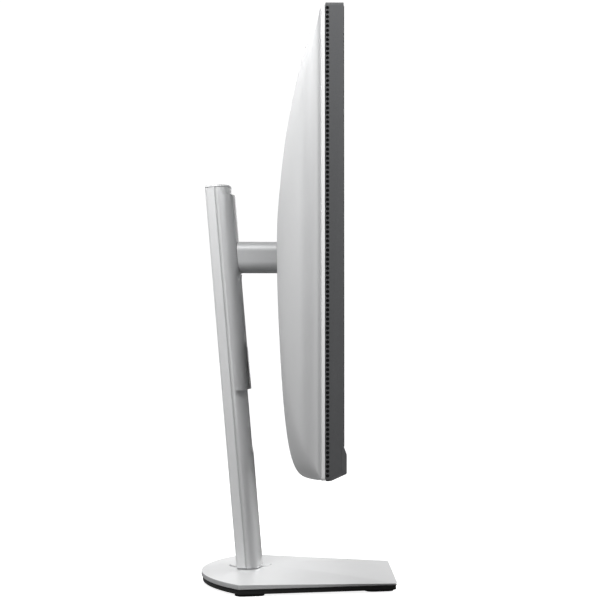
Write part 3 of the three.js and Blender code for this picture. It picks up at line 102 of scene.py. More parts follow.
def rounded_rectangle(
    left: float, right: float, bottom: float, top: float, radius: float, steps: int = 10, cells: int = 1
) -> list[Point]:
    """An anticlockwise outline with round corners.

    Args:
        left, right, bottom, top: The four sides.
        radius: Corner radius.
        steps: Segments in each corner.
        cells: Segments along each straight side.

    Returns:
        The outline's points.
    """
    centres = [
        (right - radius, top - radius),
        (left + radius, top - radius),
        (left + radius, bottom + radius),
        (right - radius, bottom + radius),
    ]
    corners = []
    for quarter, (x, y) in enumerate(centres):
        angles = [(quarter + i / steps) * math.pi / 2 for i in range(steps + 1)]
        corners.append([(x + radius * math.cos(a), y + radius * math.sin(a)) for a in angles])
    points: list[Point] = []
    for corner, following in zip(corners, corners[1:] + corners[:1]):
        points.extend(corner)
        (x0, y0), (x1, y1) = corner[-1], following[0]
        for i in range(1, cells):
            points.append((x0 + (x1 - x0) * i / cells, y0 + (y1 - y0) * i / cells))
    return points


def round_corners(points: Sequence[Point], radii: Sequence[float], steps: int = 5) -> list[Point]:
    """Replaces each corner of a polygon by an arc.

    Args:
        points: The polygon's corners.
        radii: One radius for each corner; zero keeps it sharp.
        steps: Segments in each arc.

    Returns:
        The rounded polygon.
    """
    rounded: list[Point] = []
    count = len(points)
    for i, radius in enumerate(radii):
        corner = Vector(points[i])
        before = (Vector(points[i - 1]) - corner).normalized()
        after = (Vector(points[(i + 1) % count]) - corner).normalized()
        half = before.angle(after) / 2
        if radius == 0 or half > math.pi / 2 - 1e-3:
            rounded.append(tuple(corner))
            continue
        reach = radius / math.tan(half)
        centre = corner + (before + after).normalized() * (radius / math.sin(half))
        start = corner + before * reach - centre
        end = corner + after * reach - centre
        turn = start.angle_signed(end)
        for k in range(steps + 1):
            angle = -turn * k / steps
            spun = Matrix.Rotation(angle, 2) @ start
            rounded.append(tuple(centre + spun))
    return rounded


def circle(x: float, y: float, radius: float, steps: int = 32) -> list[Point]:
    """A round outline."""
    turns = [2 * math.pi * i / steps for i in range(steps)]
    return [(x + radius * math.cos(a), y + radius * math.sin(a)) for a in turns]


# ---- meshes -----------------------------------------------------------------------------------------


def loft(name: str, rings: Sequence[Ring], hollow: bool = False) -> bpy.types.Object:
    """A closed skin through rings with the same number of points.

    Args:
        name: The new object's name.
        rings: Rings of points in millimetres, in order.
        hollow: Whether the last ring joins the first, as on a tube with a wall.

    Returns:
        The object, linked to the scene.
    """
    shape = bmesh.new()
    rows = [[shape.verts.new(p * METRES) for p in ring] for ring in rings]
    pairs = list(zip(rows, rows[1:]))
    if hollow:
        pairs.append((rows[-1], rows[0]))
    count = len(rows[0])
    for low, high in pairs:
        for i in range(count):
            j = (i + 1) % count
            shape.faces.new((low[i], low[j], high[j], high[i]))
    if not hollow:
        shape.faces.new(rows[0])
        shape.faces.new(list(reversed(rows[-1])))
    bmesh.ops.recalc_face_normals(shape, faces=shape.faces)
    return to_object(name, shape)


def to_object(name: str, shape: bmesh.types.BMesh) -> bpy.types.Object:
    """Turns a mesh in the making into an object linked to the scene."""
    mesh = bpy.data.meshes.new(name)
    shape.to_mesh(mesh)
    shape.free()
    piece = bpy.data.objects.new(name, mesh)
    bpy.context.scene.collection.objects.link(piece)
    return piece


def slab(name: str, outline: Sequence[Point], front: float, back: float) -> bpy.types.Object:
    """An outline in X and Z, pushed through from one Y to another."""
    return loft(name, [[Vector((x, y, z)) for x, z in outline] for y in (front, back)])


def prism(name: str, outline: Sequence[Point], low: float, high: float) -> bpy.types.Object:
    """An outline in X and Y, pushed up from one Z to another."""
    return loft(name, [[Vector((x, y, z)) for x, y in outline] for z in (low, high)])


def settle(piece: bpy.types.Object) -> None:
    """Applies the object's modifiers to its mesh."""
    depsgraph = bpy.context.evaluated_depsgraph_get()
    mesh = bpy.data.meshes.new_from_object(piece.evaluated_get(depsgraph))
    piece.modifiers.clear()
    old = piece.data
    piece.data = mesh
    bpy.data.meshes.remove(old)
    mesh.name = piece.name


def carve(piece: bpy.types.Object, tools: Iterable[bpy.types.Object]) -> None:
    """Cuts each tool out of a piece and removes the tools."""
    for tool in tools:
        change = piece.modifiers.new("carve", "BOOLEAN")
        change.operation = "DIFFERENCE"
        change.solver = "EXACT"
        change.object = tool
        settle(piece)
        bpy.data.objects.remove(tool)


def soften(piece: bpy.types.Object, width: float, segments: int = 3, angle: float = 32) -> None:
    """Rounds the piece's sharp edges and shades the rest smooth.

    Args:
        piece: The object.
        width: Width of the rounding, in millimetres.
        segments: Faces across each rounding.
        angle: Edges that turn by more than this many degrees are rounded.
    """
    if width > 0:
        bevel = piece.modifiers.new("soft_edges", "BEVEL")
        bevel.width = width * METRES
        bevel.segments = segments
        bevel.limit_method = "ANGLE"
        bevel.angle_limit = math.radians(angle)
        bevel.use_clamp_overlap = True
        settle(piece)
    piece.data.shade_smooth()
    piece.data.set_sharp_from_angle(angle=math.radians(angle))
    weighting = piece.modifiers.new("even_shading", "WEIGHTED_NORMAL")
    weighting.keep_sharp = True
    settle(piece)


def refined(node: str, width: float, segments: int = 2) -> bpy.types.Object:
    """A copy of a frame node with its flat faces merged and its edges rounded.

    Args:
        node: The frame node.
        width: Width of the rounding, in millimetres.
        segments: Faces across each rounding.

    Returns:
        The new piece.
    """
    shape = bmesh.new()
    shape.from_mesh(frame["nodes"][node].data)
    bmesh.ops.remove_doubles(shape, verts=shape.verts, dist=0.01 * METRES)
    bmesh.ops.dissolve_limit(shape, angle_limit=math.radians(1), verts=shape.verts, edges=shape.edges)
    piece = to_object(node + "_shape", shape)
    soften(piece, width, segments)
    return piece


def place(
    piece: bpy.types.Object, body: str, slot: Slot, nodes: Sequence[str] = (), finish: "Finish | None" = None
) -> bpy.types.Object:
    """Rides a finished piece on its body, dresses it and hides the nodes that it stands for."""
    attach(piece, body)
    if nodes:
        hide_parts(*nodes)
    if not piece.data.materials:
        piece.data.materials.append((finish or FINISHES[slot]).material())
    log.info("%s rides on %s, %d faces", piece.name, body, len(piece.data.polygons))
    return piece


# ---- shader groups ----------------------------------------------------------------------------------


class Effect:
    """A shader node group with named inputs and outputs, built once."""

    name = "effect"
    inputs: dict[str, float] = {}
    outputs: tuple[str, ...] = ()

    def group(self) -> bpy.types.NodeTree:
        """The node group, made on first use."""
        found = bpy.data.node_groups.get(self.name)
        if found:
            return found
        tree = bpy.data.node_groups.new(self.name, "ShaderNodeTree")
        for label, value in self.inputs.items():
            made = tree.interface.new_socket(label, in_out="INPUT", socket_type="NodeSocketFloat")
            made.default_value = value
        for label in self.outputs:
            tree.interface.new_socket(label, in_out="OUTPUT", socket_type="NodeSocketFloat")
        sheet = NodeSheet(tree)
        start = sheet.node("NodeGroupInput")
        end = sheet.node("NodeGroupOutput")
        self.wire(sheet, start, end)
        return tree

    def wire(self, sheet: "NodeSheet", start: Node, end: Node) -> None:
        """Fills the group between its inputs and outputs."""
        raise NotImplementedError


@dataclass
class NodeSheet:
    """Short ways to add and join shader nodes in one tree."""

    tree: bpy.types.NodeTree

    def node(self, kind: str, **values: object) -> Node:
        """Adds a node and sets its properties, or its inputs where no property has that name."""
        made = self.tree.nodes.new(kind)
        for key, value in values.items():
            if hasattr(made, key):
                setattr(made, key, value)
            else:
                self.feed(made.inputs[key.replace("_", " ").title()], value)
        return made

    def feed(self, socket: Socket, value: object) -> None:
        """Links a socket to another, or sets its value."""
        if isinstance(value, bpy.types.NodeSocket):
            self.tree.links.new(value, socket)
        else:
            socket.default_value = value

    def math(self, operation: str, first: object, second: object = 0.0, clamp: bool = False) -> Socket:
        """A Math node's result."""
        made = self.tree.nodes.new("ShaderNodeMath")
        made.operation = operation
        made.use_clamp = clamp
        self.feed(made.inputs[0], first)
        self.feed(made.inputs[1], second)
        return made.outputs[0]

    def noise(self, scale: object, vector: Socket, detail: float = 3.0, roughness: float = 0.55) -> Socket:
        """A noise texture's value."""
        made = self.tree.nodes.new("ShaderNodeTexNoise")
        self.feed(made.inputs["Scale"], scale)
        self.feed(made.inputs["Vector"], vector)
        made.inputs["Detail"].default_value = detail
        made.inputs["Roughness"].default_value = roughness
        return made.outputs["Fac"]

    def span(
        self, value: Socket, low: float, high: float, to_low: float = 0.0, to_high: float = 1.0
    ) -> Socket:
        """Maps a value from one range to another, held inside it."""
        made = self.tree.nodes.new("ShaderNodeMapRange")
        self.feed(made.inputs["Value"], value)
        for label, number in zip(("From Min", "From Max", "To Min", "To Max"), (low, high, to_low, to_high)):
            made.inputs[label].default_value = number
        return made.outputs["Result"]

    def mix(self, share: object, first: object, second: object) -> Socket:
        """A colour between two colours."""
        made = self.tree.nodes.new("ShaderNodeMix")
        made.data_type = "RGBA"
        self.feed(made.inputs[0], share)
        self.feed(made.inputs[6], first)
        self.feed(made.inputs[7], second)
        return made.outputs[2]

    def place_of_surface(self, stretch: Color = (1, 1, 1)) -> Socket:
        """The surface point in the object's own metres, stretched along each axis."""
        source = self.tree.nodes.new("ShaderNodeTexCoord")
        mapping = self.tree.nodes.new("ShaderNodeMapping")
        mapping.inputs["Scale"].default_value = stretch
        self.tree.links.new(source.outputs["Object"], mapping.inputs["Vector"])
        return mapping.outputs["Vector"]

    def effect(self, effect: Effect, **values: object) -> Node:
        """Places an effect's group with its own values."""
        made = self.tree.nodes.new("ShaderNodeGroup")
        made.node_tree = effect.group()
        for key, value in values.items():
            self.feed(made.inputs[key], value)
        return made


class Grain(Effect):
    """Moulded grain: fine cells over a softer noise, with a slow drift of tone."""

    name = "moulded_grain"
    inputs = {"Cells": 1400.0, "Drift": 6.0}
    outputs = ("Height", "Speckle", "Tone")

    def wire(self, sheet: NodeSheet, start: Node, end: Node) -> None:
        """Joins a cell texture and two noises."""
        at = sheet.place_of_surface()
        cells = sheet.node("ShaderNodeTexVoronoi", feature="SMOOTH_F1")
        sheet.feed(cells.inputs["Vector"], at)
        sheet.feed(cells.inputs["Scale"], start.outputs["Cells"])
        fine = sheet.noise(sheet.math("MULTIPLY", start.outputs["Cells"], 2.3), at, 2)
        height = sheet.math("MULTIPLY", cells.outputs["Distance"], 0.7)
        total = sheet.math("ADD", height, sheet.math("MULTIPLY", fine, 0.45))
        sheet.feed(end.inputs["Height"], total)
        sheet.feed(end.inputs["Speckle"], fine)
        sheet.feed(end.inputs["Tone"], sheet.noise(start.outputs["Drift"], at, 4))


class Streaks(Effect):
    """Drawn or brushed metal: long fine lines along X, broken by a slow noise."""

    name = "drawn_streaks"
    inputs = {"Density": 900.0, "Drift": 14.0}
    outputs = ("Height", "Tone")

    def wire(self, sheet: NodeSheet, start: Node, end: Node) -> None:
        """Joins a stretched noise and a plain one."""
        lines = sheet.noise(start.outputs["Density"], sheet.place_of_surface((0.03, 1, 1)), 5, 0.65)
        sheet.feed(end.inputs["Height"], lines)
        sheet.feed(end.inputs["Tone"], sheet.noise(start.outputs["Drift"], sheet.place_of_surface(), 5))


class EdgeWear(Effect):
    """A mask along outward edges, where handling rubs a finish bright."""

    name = "edge_wear"
    inputs = {"Amount": 0.5}
    outputs = ("Mask",)

    def wire(self, sheet: NodeSheet, start: Node, end: Node) -> None:
        """Takes the mesh's outward points and breaks them up."""
        edges = sheet.node("ShaderNodeNewGeometry").outputs["Pointiness"]
        broken = sheet.span(sheet.noise(260.0, sheet.place_of_surface(), 4), 0.35, 0.7, 0.3, 1.0)
        mask = sheet.math("MULTIPLY", sheet.span(edges, 0.52, 0.6), broken)
        sheet.feed(end.inputs["Mask"], sheet.math("MULTIPLY", mask, start.outputs["Amount"], True))


class Dust(Effect):
    """A thin uneven film that settles on faces that look up."""

    name = "settled_dust"
    inputs = {"Amount": 0.3}
    outputs = ("Mask",)

    def wire(self, sheet: NodeSheet, start: Node, end: Node) -> None:
        """Takes the upward share of the surface and breaks it up."""
        split = sheet.node("ShaderNodeSeparateXYZ")
        sheet.feed(split.inputs[0], sheet.node("ShaderNodeNewGeometry").outputs["Normal"])
        upward = sheet.span(split.outputs["Z"], 0.35, 1.0)
        patches = sheet.span(sheet.noise(38.0, sheet.place_of_surface(), 8, 0.7), 0.4, 0.72)
        film = sheet.math("MULTIPLY", upward, patches)
        sheet.feed(end.inputs["Mask"], sheet.math("MULTIPLY", film, start.outputs["Amount"], True))


# ---- finishes ---------------------------------------------------------------------------------------


@dataclass(frozen=True)
class Finish:
    """A surface with its colour, gloss, grain, wear and dust."""

    name: str
    color: Color
    roughness: float
    metallic: float = 0.0
    cells: float = 1400.0
    relief: float = 0.05
    variation: float = 0.06
    wear: float = 0.1
    worn: Color = (0.8, 0.8, 0.8)
    dust: float = 0.1
    coat: float = 0.0
    specular: float = 0.5

    def material(self) -> bpy.types.Material:
        """The finish's material, made on first use."""
        found = bpy.data.materials.get(self.name)
        if found:
            return found
        made = bpy.data.materials.new(self.name)
        made.use_nodes = True
        made.diffuse_color = (*self.color, 1)
        sheet = NodeSheet(made.node_tree)
        shader = made.node_tree.nodes["Principled BSDF"]
        shader.inputs["Metallic"].default_value = self.metallic
        shader.inputs["Coat Weight"].default_value = self.coat
        shader.inputs["Coat Roughness"].default_value = 0.15
        shader.inputs["Specular IOR Level"].default_value = self.specular
        self.paint(sheet, shader)
        return made

    def texture(self, sheet: NodeSheet) -> tuple[Socket, Socket]:
        """Places the finish's own pattern.

        Args:
            sheet: The material's tree.

        Returns:
            The pattern's height and its slow change of tone.
        """
        grain = sheet.effect(Grain(), Cells=self.cells)
        return grain.outputs["Height"], grain.outputs["Tone"]

    def base(self, sheet: NodeSheet, tone: Socket) -> Socket:
        """The colour before wear and dust, drifting between a darker and a lighter shade."""
        dark = (*(c * (1 - self.variation) for c in self.color), 1)
        light = (*(min(1.0, c * (1 + self.variation)) for c in self.color), 1)
        return sheet.mix(sheet.span(tone, 0.3, 0.7), dark, light)

    def paint(self, sheet: NodeSheet, shader: Node) -> None:
        """Feeds the shader's colour, roughness and normal."""
        height, tone = self.texture(sheet)
        worn = sheet.effect(EdgeWear(), Amount=self.wear).outputs["Mask"]
        dusty = sheet.effect(Dust(), Amount=self.dust).outputs["Mask"]
        color = sheet.mix(worn, self.base(sheet, tone), (*self.worn, 1))
        sheet.feed(shader.inputs["Base Color"], sheet.mix(dusty, color, (0.62, 0.6, 0.57, 1)))
        gloss = sheet.span(tone, 0.25, 0.75, self.roughness * 0.9, self.roughness * 1.1)
        film = sheet.math("MULTIPLY", dusty, 0.3)
        sheet.feed(shader.inputs["Roughness"], sheet.math("ADD", gloss, film, True))
        bump = sheet.node("ShaderNodeBump")
        bump.inputs["Strength"].default_value = self.relief
        bump.inputs["Distance"].default_value = 0.0004
        sheet.feed(bump.inputs["Height"], height)
        sheet.feed(shader.inputs["Normal"], bump.outputs["Normal"])


@dataclass(frozen=True)
class DrawnFinish(Finish):
    """Bare or brushed metal with fine lines."""

    density: float = 900.0

    def texture(self, sheet: NodeSheet) -> tuple[Socket, Socket]:
        """Places the drawn lines."""
        lines = sheet.effect(Streaks(), Density=self.density)
        return lines.outputs["Height"], lines.outputs["Tone"]


@dataclass(frozen=True)
class BoardFinish(Finish):
    """A green lacquered board with copper tracks under the lacquer."""

    track: Color = (0.06, 0.2, 0.08)

    def base(self, sheet: NodeSheet, tone: Socket) -> Socket:
        """Tracks as thin lines between the cells of a square pattern."""
        cells = sheet.node("ShaderNodeTexVoronoi", feature="DISTANCE_TO_EDGE")
        cells.inputs["Scale"].default_value = 260.0
        sheet.feed(cells.inputs["Vector"], sheet.place_of_surface())
        lines = sheet.span(cells.outputs["Distance"], 0.05, 0.08, 1.0, 0.0)
        return sheet.mix(lines, super().base(sheet, tone), (*self.track, 1))


@dataclass(frozen=True)
class LampFinish(Finish):
    """A small lens that is lit from behind."""

    glow: float = 1.5

    def paint(self, sheet: NodeSheet, shader: Node) -> None:
        """Adds an uneven glow to the plain finish."""
        super().paint(sheet, shader)
        shader.inputs["Emission Strength"].default_value = self.glow
        spots = sheet.span(sheet.noise(900.0, sheet.place_of_surface()), 0.3, 0.7)
        sheet.feed(shader.inputs["Emission Color"], sheet.mix(spots, (0.7, 0.8, 1, 1), (1, 1, 1, 1)))


# A lit copy of the same silver paint: painted light on the column's flat rear strip.
SILVER_PAINTED_LIGHT = Finish(
    "silver_painted_light", (0.86, 0.865, 0.87), 0.42, metallic=0.2, cells=2200, relief=0.05,
    variation=0.02, wear=0.2, worn=(0.9, 0.9, 0.9), dust=0.04,
)
# A shaded copy of the same silver paint: painted shade on the column's front shell, the carriage sleeve and the
# base plate's side faces.
SILVER_PAINTED_SHADE = Finish(
    "silver_painted_shade", (0.58, 0.585, 0.59), 0.4, metallic=0.2, cells=2200, relief=0.05,
    variation=0.025, wear=0.25, worn=(0.7, 0.7, 0.71), dust=0.05, coat=1.0,
)
# A darker shaded copy of the same silver paint: painted shade on the arm's cover.
SILVER_PAINTED_DEEP_SHADE = Finish(
    "silver_painted_deep_shade", (0.42, 0.425, 0.43), 0.48, metallic=0.25, cells=2200, relief=0.05,
    variation=0.025, wear=0.25, worn=(0.6, 0.6, 0.61), dust=0.05,
)
SILVER_TRIM = Finish(
    "bright_trim", (0.9, 0.9, 0.9), 0.35, metallic=0.25, cells=2600, relief=0.02, variation=0.02, wear=0.0
)
SCREEN_EDGE = Finish(
    "screen_edge", (0.009, 0.009, 0.01), 0.32, cells=3000, relief=0.03, wear=0.0, dust=0.03
)

FINISHES: dict[Slot, Finish] = {
    Slot.SILVER_PLASTIC: Finish(
        "silver_paint", (0.7, 0.705, 0.71), 0.48, metallic=0.25, cells=2200, relief=0.05,
        variation=0.025, wear=0.25, worn=(0.82, 0.82, 0.83), dust=0.05,
    ),
    Slot.SILVER_METAL: Finish(
        "silver_satin", (0.86, 0.865, 0.87), 0.42, metallic=0.35, cells=2600, relief=0.04,
        variation=0.02, wear=0.3, worn=(0.88, 0.88, 0.88), dust=0.06,
    ),
    Slot.DARK_PLASTIC: Finish(
        "dark_grey_plastic", (0.092, 0.094, 0.098), 0.5, cells=1500, relief=0.12,
        variation=0.08, wear=0.25, worn=(0.2, 0.2, 0.205), dust=0.12,
    ),
    Slot.BLACK_PLASTIC: Finish(
        "black_plastic", (0.018, 0.018, 0.019), 0.5, cells=1200, relief=0.16,
        variation=0.1, wear=0.15, worn=(0.07, 0.07, 0.07), dust=0.12,
    ),
    Slot.RUBBER: Finish(
        "rubber", (0.012, 0.012, 0.012), 0.82, cells=700, relief=0.3, variation=0.15,
        wear=0.3, worn=(0.05, 0.05, 0.05), dust=0.25, specular=0.25,
    ),
    Slot.STEEL: DrawnFinish(
        "steel", (0.42, 0.43, 0.44), 0.34, metallic=0.95, relief=0.12, variation=0.12, dust=0.04
    ),
    Slot.CAST_ALLOY: Finish(
        "cast_alloy", (0.5, 0.51, 0.52), 0.44, metallic=0.9, cells=900, relief=0.22, variation=0.1, dust=0.05
    ),
    Slot.SCREEN: Finish(
        "screen_matte", (0.011, 0.012, 0.014), 0.24, cells=5200, relief=0.05, variation=0.12,
        wear=0.0, dust=0.02, coat=0.2,
    ),
    Slot.MILKY_PLASTIC: Finish("milky_plastic", (0.84, 0.86, 0.86), 0.42, cells=2400, variation=0.03),
    Slot.CIRCUIT_BOARD: BoardFinish("circuit_board", (0.014, 0.075, 0.03), 0.4, coat=0.4, relief=0.1),
    Slot.LED: LampFinish("led_lens", (0.8, 0.82, 0.85), 0.25, cells=2000),
}


# ---- head -------------------------------------------------------------------------------------------


@dataclass
class HeadSizes:
    """The head's outline and the places that its parts share."""

    half_width: float
    half_height: float
    centre_z: float
    glass_y: float
    chin_bevel: float = 5.6
    chin_wall: float = 2.0

    @property
    def chin_rise(self) -> float:
        """Height of the chin's inner corner above its bottom."""
        return self.chin_bevel + 0.8 * self.chin_wall

    @classmethod
    def from_frame(cls) -> "HeadSizes":
        """Reads the sizes from the side frame and the glass."""
        low, high = box_of("side_frame")
        glass = box_of("lcd_panel")[0].y
        return cls(high.x, (high.z - low.z) / 2, (high.z + low.z) / 2, glass)

    def point(self, x: float, depth: float, z: float) -> Vector:
        """A point given by its depth behind the glass and height from the head's middle."""
        return Vector((x, self.glass_y + depth, self.centre_z + z))

    def depth(self, y: float) -> float:
        """Depth behind the glass of a frame Y."""
        return y - self.glass_y

    def ring(self, outline: Sequence[Point], depth: float) -> list[Vector]:
        """An outline in X and Z at one depth."""
        return [self.point(x, depth, z) for x, z in outline]

    def slab(self, name: str, outline: Sequence[Point], front: float, back: float) -> bpy.types.Object:
        """An outline in the head's X and Z, pushed through from one depth to another."""
        return loft(name, [self.ring(outline, front), self.ring(outline, back)])


@dataclass
class RearCover:
    """The silver pillow behind the screen, with its rim, stand pocket, cable bay and control holes."""

    sizes: HeadSizes
    rim_step: float = 0.4
    rim_depth: float = 3.5
    crease: float = 0.55
    wall: float = 2.2
    crown_z: float = 2.2
    corner_r: float = 2.0
    corner_growth: float = 72.0
    top_curve: Point = (1.1, 1.9)
    bottom_curve: Point = (5.5, 1.075)
    side_curve: Point = (3.0, 3.0)
    levels: int = 46
    lip: float = 1.1
    joystick_hole_r: float = 8.5

    def __post_init__(self) -> None:
        """Takes the cover's two depths from the frame."""
        low, high = box_of("rear_cover")
        self.front = self.sizes.depth(low.y)
        self.rim_back = self.front + self.rim_depth - GAP
        self.back = self.sizes.depth(high.y)

    @staticmethod
    def spread(level: float, curve: Point) -> float:
        """Share of the cover's size that is left at a share of its depth."""
        deep, wide = curve
        return max(0.0, 1 - level**deep) ** (1 / wide)

    def contour(self, level: float, wall: float = 0.0) -> tuple[float, float, float, float]:
        """Half-width, top, bottom and corner radius at a share of the depth."""
        tall = self.sizes.half_height - self.rim_step
        half = (self.sizes.half_width - self.rim_step) * self.spread(level, self.side_curve) - wall
        rise = (tall - self.crown_z) * self.spread(level, self.top_curve) - wall
        fall = (tall + self.crown_z) * self.spread(level, self.bottom_curve) - wall
        wanted = self.corner_r + self.corner_growth * level
        radius = max(0.2, min(wanted, half * 0.95, (rise + fall) * 0.48))
        return half, self.crown_z + rise, self.crown_z - fall, radius

    def outline(self, level: float, wall: float = 0.0, inset: float = 0.0) -> list[Point]:
        """The contour's points, with the same count at every level."""
        half, top, bottom, radius = self.contour(level, wall)
        return rounded_rectangle(
            -half + inset, half - inset, bottom + inset, top - inset, max(0.2, radius - inset), 14, 14
        )

    def depth_at(self, x: float, z: float) -> float:
        """Depth of the cover's outside at a point of the back, found by halving."""
        low, high = 0.0, 1.0
        for _ in range(26):
            middle = (low + high) / 2
            half, top, bottom, radius = self.contour(middle)
            over_x = abs(x) - (half - radius)
            over_z = max(z - (top - radius), bottom + radius - z)
            if over_x <= 0 or over_z <= 0:
                inside = over_x <= radius and over_z <= radius
            else:
                inside = math.hypot(over_x, over_z) <= radius
            low, high = (middle, high) if inside else (low, middle)
        return self.rim_back + (self.back - self.rim_back) * low

    def solid(self, name: str, wall: float, front: float) -> bpy.types.Object:
        """The solid inside the cover's skin, shrunk by a wall."""
        depth = self.back - self.rim_back - wall
        rings = [self.sizes.ring(self.outline(0, wall, 0.3), front)]
        rings.append(self.sizes.ring(self.outline(0, wall), front + 0.3))
        if wall == 0:
            rings.append(self.sizes.ring(self.outline(0, wall), self.rim_back - self.crease))
            rings.append(self.sizes.ring(self.outline(0, wall, self.crease), self.rim_back - 0.1))
        for i in range(1, self.levels):
            level = math.sin(i / self.levels * math.pi / 2) ** 1.15
            edge = self.crease * max(0.0, 1 - i / 3) if wall == 0 else 0.0
            rings.append(self.sizes.ring(self.outline(level, wall, edge), self.rim_back + depth * level))
        return loft(name, rings)

    def mouth(self, name: str, outline: Callable[[float], list[Point]], front: float) -> bpy.types.Object:
        """A cutter whose edge rolls out over the cover's surface.

        Args:
            name: The cutter's name.
            outline: The hole's outline, grown by an offset.
            front: Depth at which the hole starts.

        Returns:
            The cutter.
        """
        rings = [self.sizes.ring(outline(0), front)]
        for grow, drop in ((0, -1.0), (0.12, -0.55), (0.4, -0.2), (1.0, 0.25), (1.6, 0.9)):
            ring = [
                self.sizes.point(x, self.depth_at(x, z) + drop * self.lip, z)
                for x, z in outline(grow * self.lip)
            ]
            rings.append(ring)
        rings.append(self.sizes.ring(outline(1.6 * self.lip), self.back + 8))
        return loft(name, rings)

    def pocket_outline(self, offset: float) -> list[Point]:
        """The stand pocket's outline, grown by an offset."""
        low, high = box_of("head_plate")
        spare = 6 + offset
        tall = spare + 6
        middle = (low.z + high.z) / 2 - self.sizes.centre_z
        half = (high.z - low.z) / 2
        return rounded_rectangle(
            low.x - spare, high.x + spare, middle - half - tall, middle + half + tall, 12 + offset, 10, 10
        )

    def bay_outline(self, offset: float) -> list[Point]:
        """The cable bay's outline, grown by an offset."""
        low, high = box_of("port_bay")
        grow = GAP + offset
        bottom, top = low.z - self.sizes.centre_z, high.z - self.sizes.centre_z
        return rounded_rectangle(low.x - grow, high.x + grow, bottom - grow, top + grow, 0.6 + offset, 3, 16)

    def joystick_outline(self, offset: float) -> list[Point]:
        """The joystick's hole, grown by an offset."""
        low, high = box_of("joystick_cap")
        middle = (low + high) / 2
        return circle(middle.x, middle.z - self.sizes.centre_z, self.joystick_hole_r + offset, 40)

    def button_cutter(self) -> bpy.types.Object:
        """The power button's hole in the cover's underside."""
        low, high = box_of("power_button")
        outline = rounded_rectangle(low.x - GAP, high.x + GAP, low.y - GAP, high.y + GAP, 0.8, 4)
        bottom = self.sizes.centre_z - self.sizes.half_height
        return prism("button_hole", outline, bottom - 1, bottom + 2 * self.wall)

    def build(self) -> bpy.types.Object:
        """Makes the shell and dresses its rim in a brighter trim."""
        cover = self.solid("rear_cover_shell", 0, self.front)
        inner = self.solid("cover_inside", self.wall, self.front - 2)
        pocket_front = self.sizes.depth(box_of("head_plate")[0].y) - 2
        sleeve = self.sizes.slab("sleeve", self.pocket_outline(self.wall), pocket_front, self.back + 2)
        carve(inner, [sleeve])
        bay_front = self.sizes.depth(box_of("port_bay")[0].y)
        tools = [
            inner,
            self.mouth("pocket", self.pocket_outline, pocket_front - 1),
            self.mouth("bay", self.bay_outline, bay_front),
            self.mouth("joystick_hole", self.joystick_outline, self.rim_back),
            self.button_cutter(),
        ]
        carve(cover, tools)
        soften(cover, 0, angle=28)
        self.trim_rim(cover)
        return place(cover, "head", Slot.SILVER_PLASTIC, ["rear_cover"])

    def trim_rim(self, cover: bpy.types.Object) -> None:
        """Gives the straight rim its own finish."""
        cover.data.materials.append(FINISHES[Slot.SILVER_PLASTIC].material())
        cover.data.materials.append(SILVER_TRIM.material())
        limit = (self.sizes.glass_y + self.rim_back - self.crease + 0.05) * METRES
        for face in cover.data.polygons:
            if abs(face.normal.y) < 0.3 and all(cover.data.vertices[v].co.y < limit for v in face.vertices):
                face.material_index = 1


